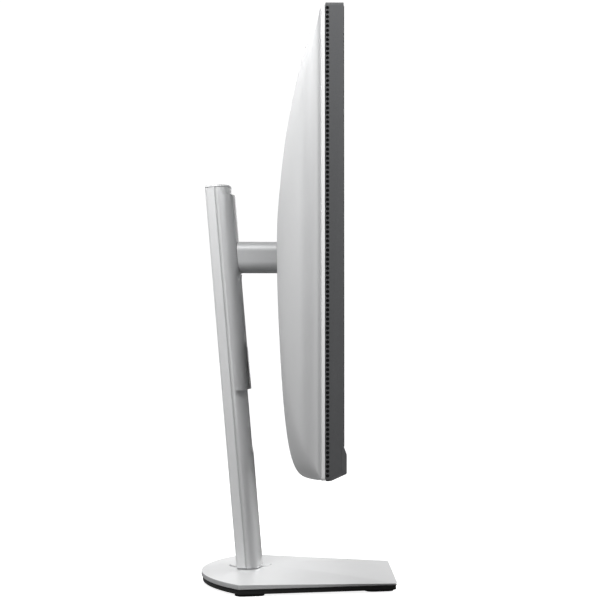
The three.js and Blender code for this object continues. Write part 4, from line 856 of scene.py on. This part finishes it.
@dataclass
class SideFrame:
    """The dark hoop round the panel, with a row of round vents along its sides and top."""

    sizes: HeadSizes
    wall: float = 1.6
    edge: float = 0.35
    back_edge: float = 0.1
    vent_r: float = 1.32
    vent_pitch: float = 3.42
    vent_depth: float = 12.5
    vent_margin: float = 4.2
    liner: float = 0.2
    corner_r: float = 2.0
    seam: float = 0.05

    def profile(self) -> list[Point]:
        """Inset from the outline and depth, once round the hoop's section."""
        low, high = box_of("side_frame")
        front, back = self.sizes.depth(low.y), self.sizes.depth(high.y)
        corners = [(0, front), (0, back), (self.wall, back), (self.wall, front)]
        return round_corners(corners, [self.edge, self.back_edge, 0.1, 0.2], 4)

    def outline(self, inset: float) -> list[Point]:
        """The hoop's outline, inset."""
        half_width, half_height = self.sizes.half_width - inset, self.sizes.half_height - inset
        radius = max(0.5, self.corner_r - inset)
        return rounded_rectangle(-half_width, half_width, -half_height, half_height, radius, 8)

    def vents(self) -> list[bpy.types.Object]:
        """One cutter with every vent of the sides, and one for the top."""
        reach = self.wall - self.liner
        side = bmesh.new()
        top = bmesh.new()
        tall = 2 * (self.sizes.half_height - self.vent_margin)
        count = round(tall / self.vent_pitch)
        for sign in (-1, 1):
            for i in range(count + 1):
                z = -tall / 2 + tall * i / count
                centre = self.sizes.point(sign * self.sizes.half_width, self.vent_depth, z)
                add_drill(side, centre, Vector((1, 0, 0)), self.vent_r, reach)
        wide = 2 * (self.sizes.half_width - self.vent_margin)
        count = round(wide / self.vent_pitch)
        for i in range(count + 1):
            x = -wide / 2 + wide * i / count
            centre = self.sizes.point(x, self.vent_depth, self.sizes.half_height)
            add_drill(top, centre, Vector((0, 0, 1)), self.vent_r, reach)
        return [to_object("side_vents", side), to_object("top_vents", top)]

    def chin_room(self) -> bpy.types.Object:
        """What is cut away behind and under the chin."""
        low, high = box_of("chin_bezel")
        seam = self.seam
        wall, spare = self.sizes.chin_wall, 2
        back, inside = high.y + seam, self.sizes.glass_y + wall + seam
        outline = [(low.y - spare, low.z - spare), (back, low.z - spare), (back, low.z + wall + seam)]
        outline += [(inside, low.z + self.sizes.chin_rise + seam), (inside, high.z + seam)]
        outline.append((low.y - spare, high.z + seam))
        half = self.sizes.half_width + 1
        return loft("chin_room", [[Vector((x, y, z)) for y, z in outline] for x in (-half, half)])

    def build(self) -> bpy.types.Object:
        """Makes the hoop and drills its vents."""
        rings = [self.sizes.ring(self.outline(inset), depth) for inset, depth in self.profile()]
        hoop = loft("side_frame_hoop", rings, hollow=True)
        carve(hoop, [self.chin_room(), *self.vents()])
        soften(hoop, 0, angle=30)
        self.paint_vent_shade(hoop)
        return place(hoop, "head", Slot.DARK_PLASTIC, ["side_frame"])

    def paint_vent_shade(self, hoop: bpy.types.Object) -> None:
        """Paints the vent walls and the hoop's inside near-black: painted shade in the holes."""
        hoop.data.materials.append(FINISHES[Slot.DARK_PLASTIC].material())
        # The rubber finish's near-black stands in as painted shade on the vent walls and the hoop's inside.
        hoop.data.materials.append(FINISHES[Slot.RUBBER].material())
        skin = 0.3
        wide, tall = self.sizes.half_width - skin, self.sizes.half_height - skin
        for face in hoop.data.polygons:
            centre = face.center / METRES
            inside = abs(centre.x) < wide and abs(centre.z - self.sizes.centre_z) < tall
            face.material_index = 1 if inside and abs(face.normal.y) < 0.5 else 0


def add_drill(shape: bmesh.types.BMesh, centre: Vector, along: Vector, radius: float, reach: float) -> None:
    """Adds a closed round bar to a mesh in the making.

    Args:
        shape: The mesh.
        centre: The bar's middle, in millimetres.
        along: Its direction.
        radius: Its radius.
        reach: Its length to each side of the middle.
    """
    turn = along.to_track_quat("Z", "Y").to_matrix().to_4x4()
    where = Matrix.Translation(centre * METRES) @ turn
    bmesh.ops.create_cone(
        shape, cap_ends=True, segments=14, radius1=radius * METRES, radius2=radius * METRES,
        depth=2 * reach * METRES, matrix=where,
    )


@dataclass
class Chin:
    """The bezel under the glass: proud at the front, with a long bevel underneath, and its power light."""

    sizes: HeadSizes
    blend: float = 4.5
    lower_fillet: float = 1.44
    upper_fillet: float = 4.0

    def outline(self) -> list[Point]:
        """The chin's section in Y and Z."""
        low, high = box_of("chin_bezel")
        glass, wall = self.sizes.glass_y, self.sizes.chin_wall
        corners = [
            (low.y, low.z + self.sizes.chin_bevel),
            (high.y, low.z),
            (high.y, low.z + wall),
            (glass + wall, low.z + self.sizes.chin_rise),
            (glass + wall, high.z),
            (glass, high.z),
            (low.y, high.z - self.blend),
        ]
        return round_corners(corners, [self.lower_fillet, 0.5, 0.2, 0, 0.2, 0.3, self.upper_fillet], 6)

    def build(self) -> None:
        """Makes the bezel and its light."""
        half = self.sizes.half_width
        ends = [[Vector((x, y, z)) for y, z in self.outline()] for x in (-half, half)]
        bezel = loft("chin_bezel_bar", ends)
        low, high = box_of("power_led")
        window = rounded_rectangle(low.x - GAP, high.x + GAP, low.z - GAP, high.z + GAP, 0.8, 5)
        carve(bezel, [slab("led_window", window, low.y - 1, high.y + GAP)])
        soften(bezel, 0.22, 2, 40)
        place(bezel, "head", Slot.DARK_PLASTIC, ["chin_bezel"])
        lens = slab("power_led_lens", rounded_rectangle(low.x, high.x, low.z, high.z, 0.7, 5), low.y, high.y)
        soften(lens, 0.12, 2)
        place(lens, "head", Slot.LED, ["power_led"])


@dataclass
class Screen:
    """The matte panel with its thin black border."""

    border: float = 5.5
    step: float = 0.12
    corner_r: float = 2.0

    def build(self) -> bpy.types.Object:
        """Makes the panel as stacked outlines: back, edge, border and picture area."""
        low, high = box_of("lcd_panel")
        rows = [(0.15, high.y), (0, high.y - 0.15), (0, low.y + 0.3), (0.3, low.y)]
        rows += [(self.border, low.y), (self.border + self.step, low.y + self.step)]
        rings = []
        for inset, y in rows:
            radius = max(0.3, self.corner_r - inset)
            outline = rounded_rectangle(
                low.x + inset, high.x - inset, low.z + inset, high.z - inset, radius, 6
            )
            rings.append([Vector((x, y, z)) for x, z in outline])
        panel = loft("screen_panel", rings)
        soften(panel, 0, angle=25)
        panel.data.materials.append(FINISHES[Slot.SCREEN].material())
        panel.data.materials.append(SCREEN_EDGE.material())
        for face in panel.data.polygons:
            picture = face.normal.y < -0.9 and abs(face.center.x) < 1e-3 and abs(face.center.z) > 0.2
            face.material_index = 0 if picture and len(face.vertices) > 4 else 1
        return place(panel, "head", Slot.SCREEN, ["lcd_panel"])


# ---- stand ------------------------------------------------------------------------------------------


@dataclass
class Column:
    """The leaning column: a flat-sided rear shell, a curved front shell and a lid."""

    depth: float = 23.2
    strip_depth: float = 8.5
    half_width: float = 32.5
    taper: float = 2.5
    wall: float = 2.0
    nose_half_width: float = 33.0
    nose_power: float = 2.6
    seam: float = 1.2
    slot_half_width: float = 18.0
    cable_hole_height: float = 78.0
    slot_low_z: float = 119.0
    slot_over_bracket: float = 27.5
    back_edge: float = 2.4
    cap_edge: float = 1.3
    hairline: float = 0.12

    def __post_init__(self) -> None:
        """Takes the column's place and lean from the frame's joints."""
        swivel = joint("swivel")["pos_m"]
        rise = joint("height")["axis"]
        self.foot = Vector(swivel) / METRES
        self.lean = math.atan2(rise[1], rise[2])
        self.rear_y = self.depth / 2
        self.strip_y = self.rear_y - self.strip_depth
        self.nose_y = self.strip_y - self.seam
        self.nose_depth = self.nose_y + self.depth / 2
        self.matrix = Matrix.Translation(self.foot) @ Matrix.Rotation(-self.lean, 4, "X")
        crest_top = box_of("column_top_cap")[1].z
        self.top = (crest_top - self.foot.z) / math.cos(self.lean) - self.depth / 2 * math.tan(self.lean)

    def along(self, z: float, y: float) -> float:
        """Length along the column at which a point of its section has a height above the desk."""
        return (z - self.foot.z + y * math.sin(self.lean)) / math.cos(self.lean)

    def out(self, x: float, y: float, z: float) -> Vector:
        """A point of the column's own frame in the part's."""
        return self.matrix @ Vector((x, y, z))

    def nose(self, offset: float, start: float = 0.0, steps: int = 44) -> list[Point]:
        """The curved front's outline, grown by an offset, from one side round to the other.

        Args:
            offset: How far outside the front shell's face.
            start: How far in front of the seam the curve starts.
            steps: Segments.

        Returns:
            Points in X and Y.
        """
        deep, wide = self.nose_depth + offset, self.nose_half_width + offset
        first = math.asin((start / deep) ** (self.nose_power / 2))
        points = []
        for i in range(steps + 1):
            angle = first + (math.pi - 2 * first) * i / steps
            cosine, sine = math.cos(angle), math.sin(angle)
            x = wide * math.copysign(abs(cosine) ** (2 / self.nose_power), cosine)
            points.append((x, self.nose_y - deep * sine ** (2 / self.nose_power)))
        return points[::-1]

    def strip(self, inset: float) -> list[Point]:
        """The rear shell's outline, from one front edge round the back to the other."""
        wide, narrow = self.half_width - inset, self.half_width - self.taper - inset
        back, radius = self.rear_y - inset, max(0.4, self.back_edge - inset)
        corners = [(wide, self.strip_y), (narrow, back), (-narrow, back), (-wide, self.strip_y)]
        return round_corners(corners, [0, radius, radius, 0], 7)

    def pillar(
        self, name: str, outline: Sequence[Point], low: Callable[[float], float], high: float
    ) -> bpy.types.Object:
        """An outline pushed up the column from a height that depends on its depth."""
        bottom = [self.out(x, y, low(y)) for x, y in outline]
        return loft(name, [bottom, [self.out(x, y, high) for x, y in outline]])

    def level_foot(self, y: float) -> float:
        """Where the column's section meets the base."""
        return self.along(self.foot.z + RUNNING_GAP, y)

    def opening(self, name: str, low: float, high: float, front: float, back: float) -> bpy.types.Object:
        """A slot through a shell, between two lengths and two depths."""
        half = self.slot_half_width
        outline = rounded_rectangle(-half, half, low, high, 6, 8)
        return loft(name, [[self.out(x, y, z) for x, z in outline] for y in (front, back)])

    def build(self) -> None:
        """Makes the two shells and the lid."""
        top = self.top - self.wall - GAP
        bottom = self.along(self.slot_low_z, -self.depth / 2)
        outline = [*self.strip(0), *reversed(self.strip(self.wall))]
        rear = self.pillar("rear_shell", outline, self.level_foot, top)
        hole_top = bottom + self.cable_hole_height
        carve(rear, [self.opening("hole", bottom, hole_top, self.rear_y - 4, self.rear_y + 2)])
        soften(rear, 0.3)
        # The rear shell takes the lit copy of the silver paint: painted light on its flat strip.
        place(rear, "column", Slot.SILVER_PLASTIC, ["column_rear_shell"], SILVER_PAINTED_LIGHT)
        reach = self.strip_y - self.hairline
        outer = [(-self.half_width, reach), *self.nose(0), (self.half_width, reach)]
        inner_wide = self.half_width - self.wall
        inner = [(inner_wide, reach), *reversed(self.nose(-self.wall)), (-inner_wide, reach)]
        front = self.pillar("front_shell", [*outer, *inner], self.level_foot, top)
        slot_top = self.along(box_of("arm_bracket")[1].z + self.slot_over_bracket, -self.depth / 2)
        slot = self.opening("slot", bottom, slot_top, -self.depth / 2 - 3, self.nose_y + 1)
        carve(front, [slot])
        soften(front, 0.3)
        # The front shell takes the shaded copy of the silver paint: painted shade.
        place(front, "column", Slot.SILVER_PLASTIC, ["column_front_shell"], SILVER_PAINTED_SHADE)
        self.build_lid()

    def build_lid(self) -> None:
        """Makes the lid as stacked outlines with a rolled top edge."""
        rings = []
        middle = (self.rear_y + self.nose_y - self.nose_depth) / 2
        edge = self.cap_edge
        rows = [(0.25, 0.0), (0.0, 0.25), (0.0, self.wall - edge)]
        for angle in (0.4, 0.8, 1.2, 1.57):
            rows.append((edge * (1 - math.cos(angle)), self.wall - edge * (1 - math.sin(angle))))
        outline = [*self.strip(0), *self.nose(0)]
        base = self.top - self.wall
        for inset, height in rows:
            ring = []
            for x, y in outline:
                across = 1 - inset / self.half_width
                deep = 1 - inset / (self.depth / 2)
                ring.append(self.out(x * across, middle + (y - middle) * deep, base + height))
            rings.append(ring)
        lid = loft("top_lid", rings)
        soften(lid, 0, angle=40)
        place(lid, "column", Slot.SILVER_PLASTIC, ["column_top_cap"])


@dataclass
class Carriage:
    """The sleeve that rides on the column's front, and the arm that grows out of it."""

    column: Column
    wall: float = 2.5
    wrap: float = 13.6
    window_top_z: float = 282.0
    window_bottom_z: float = 213.0
    arm_wall: float = 2.2
    arm_edge: float = 8.5
    lip: float = 0.7

    def __post_init__(self) -> None:
        """Works out how far the sleeve stands proud of the front shell."""
        self.proud = RUNNING_GAP + self.wall
        self.front_y = -self.column.depth / 2 - self.proud

    def build(self) -> None:
        """Makes the sleeve and the arm's cover."""
        column = self.column
        start = column.nose_y - (self.front_y + self.wrap)
        low, high = box_of("carriage_cover")
        outline = [*column.nose(self.proud, start), *reversed(column.nose(RUNNING_GAP, start))]
        back_y = self.front_y + self.wrap
        crest_low = column.along(low.z, back_y)
        crest_high = column.along(high.z, self.front_y)
        sleeve = column.pillar("carriage_sleeve", outline, lambda y: crest_low, crest_high)
        window_low = column.along(self.window_bottom_z, -column.depth / 2)
        window_high = column.along(self.window_top_z, -column.depth / 2)
        window = column.opening("window", window_low, window_high, self.front_y - 2, column.nose_y)
        neck_low, neck_high = box_of("arm_bracket")
        middle = column.along((neck_low.z + neck_high.z) / 2, self.front_y)
        half = (neck_high.z - neck_low.z) / 2 + GAP
        wide = neck_high.x + GAP
        top, bottom = middle + half, middle - half
        corners = [(wide, top), (-wide, top), (-wide, bottom), (wide, bottom)]
        rings = [[column.out(x, y, z) for x, z in corners] for y in (self.front_y - 2, back_y)]
        carve(sleeve, [window, loft("neck_hole", rings)])
        soften(sleeve, 0.45)
        # The sleeve takes the shaded copy of the silver paint: painted shade.
        place(sleeve, "carriage", Slot.SILVER_PLASTIC, ["carriage_cover"], SILVER_PAINTED_SHADE)
        self.build_arm()

    def meet(self, x: float, z: float) -> float:
        """Y at which a level line at a height meets the sleeve's front, less a gap.

        Args:
            x: Place across.
            z: Height above the desk.

        Returns:
            The Y in the part's frame.
        """
        column = self.column
        wide = column.nose_half_width + self.proud + GAP
        deep = column.nose_depth + self.proud + GAP
        share = (1 - (abs(x) / wide) ** column.nose_power) ** (1 / column.nose_power)
        y = column.nose_y - deep * share
        return column.out(x, y, column.along(z, y)).y

    def build_arm(self) -> None:
        """Makes the arm's hollow cover, cut to the sleeve's curve."""
        low, high = box_of("arm_cover")

        def ring(inset: float, front: float | None, trim: float = 0.0) -> list[Vector]:
            """The arm's section, at one Y or where it meets the sleeve."""
            outline = rounded_rectangle(
                low.x + inset, high.x - inset, low.z + inset, high.z - inset, self.arm_edge - inset, 8, 8
            )
            return [Vector((x, self.meet(x, z) - trim if front is None else front, z)) for x, z in outline]

        lip, wall = self.lip, self.arm_wall
        rows = [ring(lip, low.y), ring(lip * 0.3, low.y + lip * 0.3), ring(0, low.y + lip)]
        rows += [ring(0, None, 0.3), ring(0.3, None), ring(wall, None), ring(wall, low.y)]
        cover = loft("arm_sleeve", rows, hollow=True)
        soften(cover, 0, angle=35)
        # The arm's cover takes the darker shaded copy of the silver paint: painted shade between the column and
        # the head.
        place(cover, "carriage", Slot.SILVER_PLASTIC, ["arm_cover"], SILVER_PAINTED_DEEP_SHADE)


@dataclass
class Base:
    """The silver plate with its crowned top, the black pan under it and four rubber feet."""

    foot: Vector
    front_half_width: float = 73.9
    back_half_width: float = 102.4
    corner_y: float = 50.6
    edge_r: float = 4.0
    crown_z: float = 14.5
    front_z: float = 7.8
    corner_z: float = 10.7
    corner_r: float = 3.0
    roll: float = 0.7
    crowned_share: float = 0.86
    turntable_r: float = 30.0
    spigot_r: float = 19.5
    ceiling_z: float = 11.0

    def __post_init__(self) -> None:
        """Takes the plate's outside from the frame."""
        low, high = box_of("base_plate")
        self.front_y, self.back_y = low.y, high.y
        self.underside = low.z
        rise = self.back_y - self.corner_y
        self.arc_r = (self.back_half_width**2 + rise**2) / (2 * rise)

    def plan(self, inset: float) -> list[Point]:
        """The plate's plan: straight front and sides and a round back, inset from its edge."""
        front = self.front_half_width - inset
        radius = self.arc_r - inset
        centre_y = self.back_y - self.arc_r
        sweep = math.asin((self.back_half_width - inset) / radius)
        points: list[Point] = []
        steps = 64
        for i in range(steps + 1):
            angle = math.pi / 2 - sweep + 2 * sweep * i / steps
            points.append((radius * math.cos(angle), centre_y + radius * math.sin(angle)))
        corner_right, corner_left = points[0], points[-1]
        y = self.front_y + inset
        arc = points[1:-1]
        corners = [corner_right, *arc, corner_left, (-front, y), (front, y)]
        corner_r = self.corner_r - min(inset, 2.5)
        radii = [corner_r, *([0.0] * len(arc)), corner_r, self.edge_r, self.edge_r]
        return self.divide(round_corners(corners, radii, 6))

    @staticmethod
    def divide(points: Sequence[Point], longest: float = 9.0, count: int = 10) -> list[Point]:
        """Splits the plan's straight sides into cells."""
        result: list[Point] = []
        for (x0, y0), (x1, y1) in zip(points, [*points[1:], points[0]]):
            pieces = count if math.hypot(x1 - x0, y1 - y0) > longest else 1
            for i in range(pieces):
                result.append((x0 + (x1 - x0) * i / pieces, y0 + (y1 - y0) * i / pieces))
        return result

    def edge_height(self, y: float) -> float:
        """Height of the plate's top at its edge."""
        share = (y - self.front_y) / (self.corner_y - self.front_y)
        return self.front_z + (self.corner_z - self.front_z) * max(0.0, min(1.0, share))

    def build(self) -> None:
        """Makes the plate, then rounds the frame's pan and feet."""
        outer = self.plan(0)
        rings = []
        for shrink, z in ((0.7, self.underside), (0.15, self.underside + 0.3), (0.0, self.underside + 0.7)):
            rings.append([self.shrunk(p, shrink, z) for p in outer])
        for i in range(5):
            angle = i / 4 * math.pi / 2
            inset = self.roll * (1 - math.cos(angle))
            drop = self.roll * (1 - math.sin(angle))
            rings.append([self.shrunk(p, inset, self.edge_height(p[1]) - drop) for p in outer])
        full_rise = math.sin(self.crowned_share * math.pi / 2)
        for i in range(1, 25):
            share = self.crowned_share * i / 24
            rise = math.sin(share * math.pi / 2)
            ring = []
            for p in outer:
                start = self.shrunk(p, self.roll, self.edge_height(p[1]))
                x = start.x * (1 - share)
                y = start.y + (self.foot.y - start.y) * share
                height = start.z + (self.crown_z - start.z) * min(1.0, rise / full_rise)
                ring.append(Vector((x, y, height)))
            rings.append(ring)
        plate = loft("base_top_plate", rings)
        low = self.underside - 1
        tools = [
            prism("turntable_room", circle(0, self.foot.y, self.turntable_r, 64), low, self.ceiling_z),
            prism("spigot_hole", circle(0, self.foot.y, self.spigot_r, 64), low, self.crown_z + 1),
        ]
        carve(plate, tools)
        soften(plate, 0, angle=35)
        plate.data.materials.append(FINISHES[Slot.SILVER_METAL].material())
        # Faces that do not look up take the shaded copy of the silver: painted shade on the plate's edge band.
        plate.data.materials.append(SILVER_PAINTED_SHADE.material())
        for face in plate.data.polygons:
            face.material_index = 1 if abs(face.normal.z) < 0.6 else 0
        place(plate, "base", Slot.SILVER_METAL, ["base_plate"])
        place(refined("base_pan", 0.4), "base", Slot.BLACK_PLASTIC, ["base_pan"])
        for end in ("front", "rear"):
            for side in ("left", "right"):
                node = f"foot_{end}_{side}"
                place(refined(node, 0.35), "base", Slot.RUBBER, [node])

    def shrunk(self, point: Point, inset: float, z: float) -> Vector:
        """A plan point moved in towards the foot."""
        away = Vector((point[0], point[1] - self.foot.y * 0.2))
        moved = away * (1 - inset / away.length)
        return Vector((moved.x, moved.y + self.foot.y * 0.2, z))


# ---- small parts and carried-over nodes --------------------------------------------------------------


@dataclass
class SmallParts:
    """Parts whose frame shape is right: rounded where they show, and all dressed."""

    rounded: dict[str, tuple[str, Slot, float]] = field(
        default_factory=lambda: {
            "port_bay": ("head", Slot.BLACK_PLASTIC, 0.35),
            "power_inlet": ("head", Slot.BLACK_PLASTIC, 0.25),
            "audio_jack": ("head", Slot.BLACK_PLASTIC, 0.15),
            "hdmi_port_1": ("head", Slot.STEEL, 0.12),
            "hdmi_port_2": ("head", Slot.STEEL, 0.12),
            "display_port": ("head", Slot.STEEL, 0.12),
            "head_plate": ("head", Slot.CAST_ALLOY, 0.5),
            "release_button": ("release", Slot.DARK_PLASTIC, 0.7),
            "power_button": ("power", Slot.DARK_PLASTIC, 0.5),
            "joystick_cap": ("joystick_top", Slot.BLACK_PLASTIC, 0.45),
            "tilt_knuckle": ("knuckle", Slot.STEEL, 0.4),
            "arm_bracket": ("carriage", Slot.STEEL, 0.4),
            "tilt_pin": ("carriage", Slot.STEEL, 0.3),
            "base_thumbscrew": ("thumbscrew", Slot.CAST_ALLOY, 0.3),
            "thumbscrew_handle": ("handle", Slot.STEEL, 0.4),
            "column_foot": ("column", Slot.CAST_ALLOY, 0.3),
            "carriage_block": ("carriage", Slot.CAST_ALLOY, 0.4),
        }
    )
    special: dict[str, Finish] = field(default_factory=lambda: {"column_foot": FINISHES[Slot.SILVER_METAL]})

    def build(self) -> None:
        """Makes the rounded parts and gives every other node its finish."""
        for node, (body, slot, width) in self.rounded.items():
            place(refined(node, width), body, slot, [node], self.special.get(node))
        for part in frame["record"]["subparts"]:
            finish = FINISHES[Slot(part["material_slot"])]
            self.dress(frame["nodes"][part["node"]], finish.material())

    @staticmethod
    def dress(node: bpy.types.Object, material: bpy.types.Material) -> None:
        """Assigns a material to the node's own slot and leaves its mesh alone."""
        for slot in node.material_slots:
            slot.link = "OBJECT"
            slot.material = material


# ---- studio -----------------------------------------------------------------------------------------


@dataclass
class Studio:
    """Floor, light and camera."""

    eye: Vector = field(default_factory=lambda: Vector((-1.5046, 0.0016, 0.2221)))
    aim: Vector = field(default_factory=lambda: Vector((0.0, -0.0025, 0.2593)))
    lens: float = 97.1
    floor_half: float = 14.0

    def build(self) -> None:
        """Sets up the whole studio."""
        self.floor()
        self.surroundings()
        target = Vector((0, 0, 0.25))
        self.panel("near_key", Vector((-0.5, 0.2, 0.78)), Vector((-0.2, 0.03, 0.4)), 0.25, 4.2)
        self.panel("side_fill", Vector((-1.49, 0.0, 0.38)), target, 0.6, 2.4)
        self.panel("overhead", Vector((-0.15, 0.45, 1.1)), target, 0.4, 1.6)
        self.panel("rear_fill", Vector((0.51, 1.4, 0.38)), target, 0.6, 0.9)
        self.panel("front_key", Vector((0.5, -0.9, 0.6)), target, 0.6, 8.4)
        self.camera()

    def floor(self) -> None:
        """A pale floor that stays even out to the horizon."""
        half = self.floor_half / METRES
        corners = [(-half, -half), (half, -half), (half, half), (-half, half)]
        floor = prism("studio_floor", corners, -20, -0.05)
        made = bpy.data.materials.new("studio_floor")
        made.use_nodes = True
        sheet = NodeSheet(made.node_tree)
        shader = made.node_tree.nodes["Principled BSDF"]
        shader.inputs["Roughness"].default_value = 0.9
        shader.inputs["Specular IOR Level"].default_value = 0.1
        speckle = sheet.span(sheet.noise(60.0, sheet.place_of_surface()), 0.3, 0.7)
        pale = sheet.mix(speckle, (0.8, 0.8, 0.8, 1), (0.82, 0.82, 0.82, 1))
        seen = sheet.node("ShaderNodeLightPath").outputs["Is Camera Ray"]
        sheet.feed(shader.inputs["Base Color"], sheet.mix(seen, (0.3, 0.3, 0.3, 1), pale))
        glow = sheet.node("ShaderNodeEmission")
        sheet.feed(glow.inputs["Strength"], sheet.math("MULTIPLY", seen, 0.9))
        total = sheet.node("ShaderNodeAddShader")
        sheet.feed(total.inputs[0], shader.outputs[0])
        sheet.feed(total.inputs[1], glow.outputs[0])
        output = made.node_tree.nodes["Material Output"]
        sheet.feed(output.inputs["Surface"], total.outputs[0])
        floor.data.materials.append(made)

    def surroundings(self) -> None:
        """White where it is seen, and light that comes from the far side."""
        world = bpy.data.worlds.new("studio")
        bpy.context.scene.world = world
        world.use_nodes = True
        world.node_tree.nodes.clear()
        sheet = NodeSheet(world.node_tree)
        split = sheet.node("ShaderNodeSeparateXYZ")
        sheet.feed(split.inputs[0], sheet.node("ShaderNodeTexCoord").outputs["Generated"])
        light = sheet.span(split.outputs["X"], 0.0, 1.0, 0.02, 1.1)
        seen = sheet.node("ShaderNodeLightPath").outputs["Is Camera Ray"]
        shade = sheet.node("ShaderNodeMix")
        sheet.feed(shade.inputs[0], seen)
        sheet.feed(shade.inputs[2], light)
        sheet.feed(shade.inputs[3], 1.05)
        background = sheet.node("ShaderNodeBackground")
        sheet.feed(background.inputs["Strength"], shade.outputs[0])
        sheet.feed(background.inputs["Color"], (1, 1, 1, 1))
        output = sheet.node("ShaderNodeOutputWorld")
        sheet.feed(output.inputs["Surface"], background.outputs[0])
        bpy.context.scene.view_settings.view_transform = "Standard"

    @staticmethod
    def panel(name: str, place_at: Vector, target: Vector, size: float, power: float) -> None:
        """A soft square light that faces a target.

        Args:
            name: The light's name.
            place_at: Its middle, in metres.
            target: What it faces.
            size: Its side.
            power: Its power in watts.
        """
        light = bpy.data.lights.new(name, "AREA")
        light.shape = "SQUARE"
        light.size = size
        light.energy = power
        holder = bpy.data.objects.new(name, light)
        holder.location = place_at
        holder.rotation_euler = (target - place_at).to_track_quat("-Z", "Y").to_euler()
        holder.visible_camera = False
        bpy.context.scene.collection.objects.link(holder)

    def camera(self) -> None:
        """The camera at the side of the monitor."""
        data = bpy.data.cameras.new("camera")
        data.lens = self.lens
        data.sensor_width = 36
        data.clip_end = 60
        holder = bpy.data.objects.new("camera", data)
        holder.location = self.eye
        holder.rotation_euler = (self.aim - self.eye).to_track_quat("-Z", "Y").to_euler()
        bpy.context.scene.collection.objects.link(holder)
        bpy.context.scene.camera = holder


def main() -> None:
    """Builds the monitor's sub-assemblies and the studio."""
    logging.basicConfig(level=logging.INFO, format="%(message)s")
    sizes = HeadSizes.from_frame()
    RearCover(sizes).build()
    SideFrame(sizes).build()
    Chin(sizes).build()
    Screen().build()
    column = Column()
    column.build()
    Carriage(column).build()
    Base(column.foot).build()
    SmallParts().build()
    Studio().build()


if __name__ == "__main__":
    main()
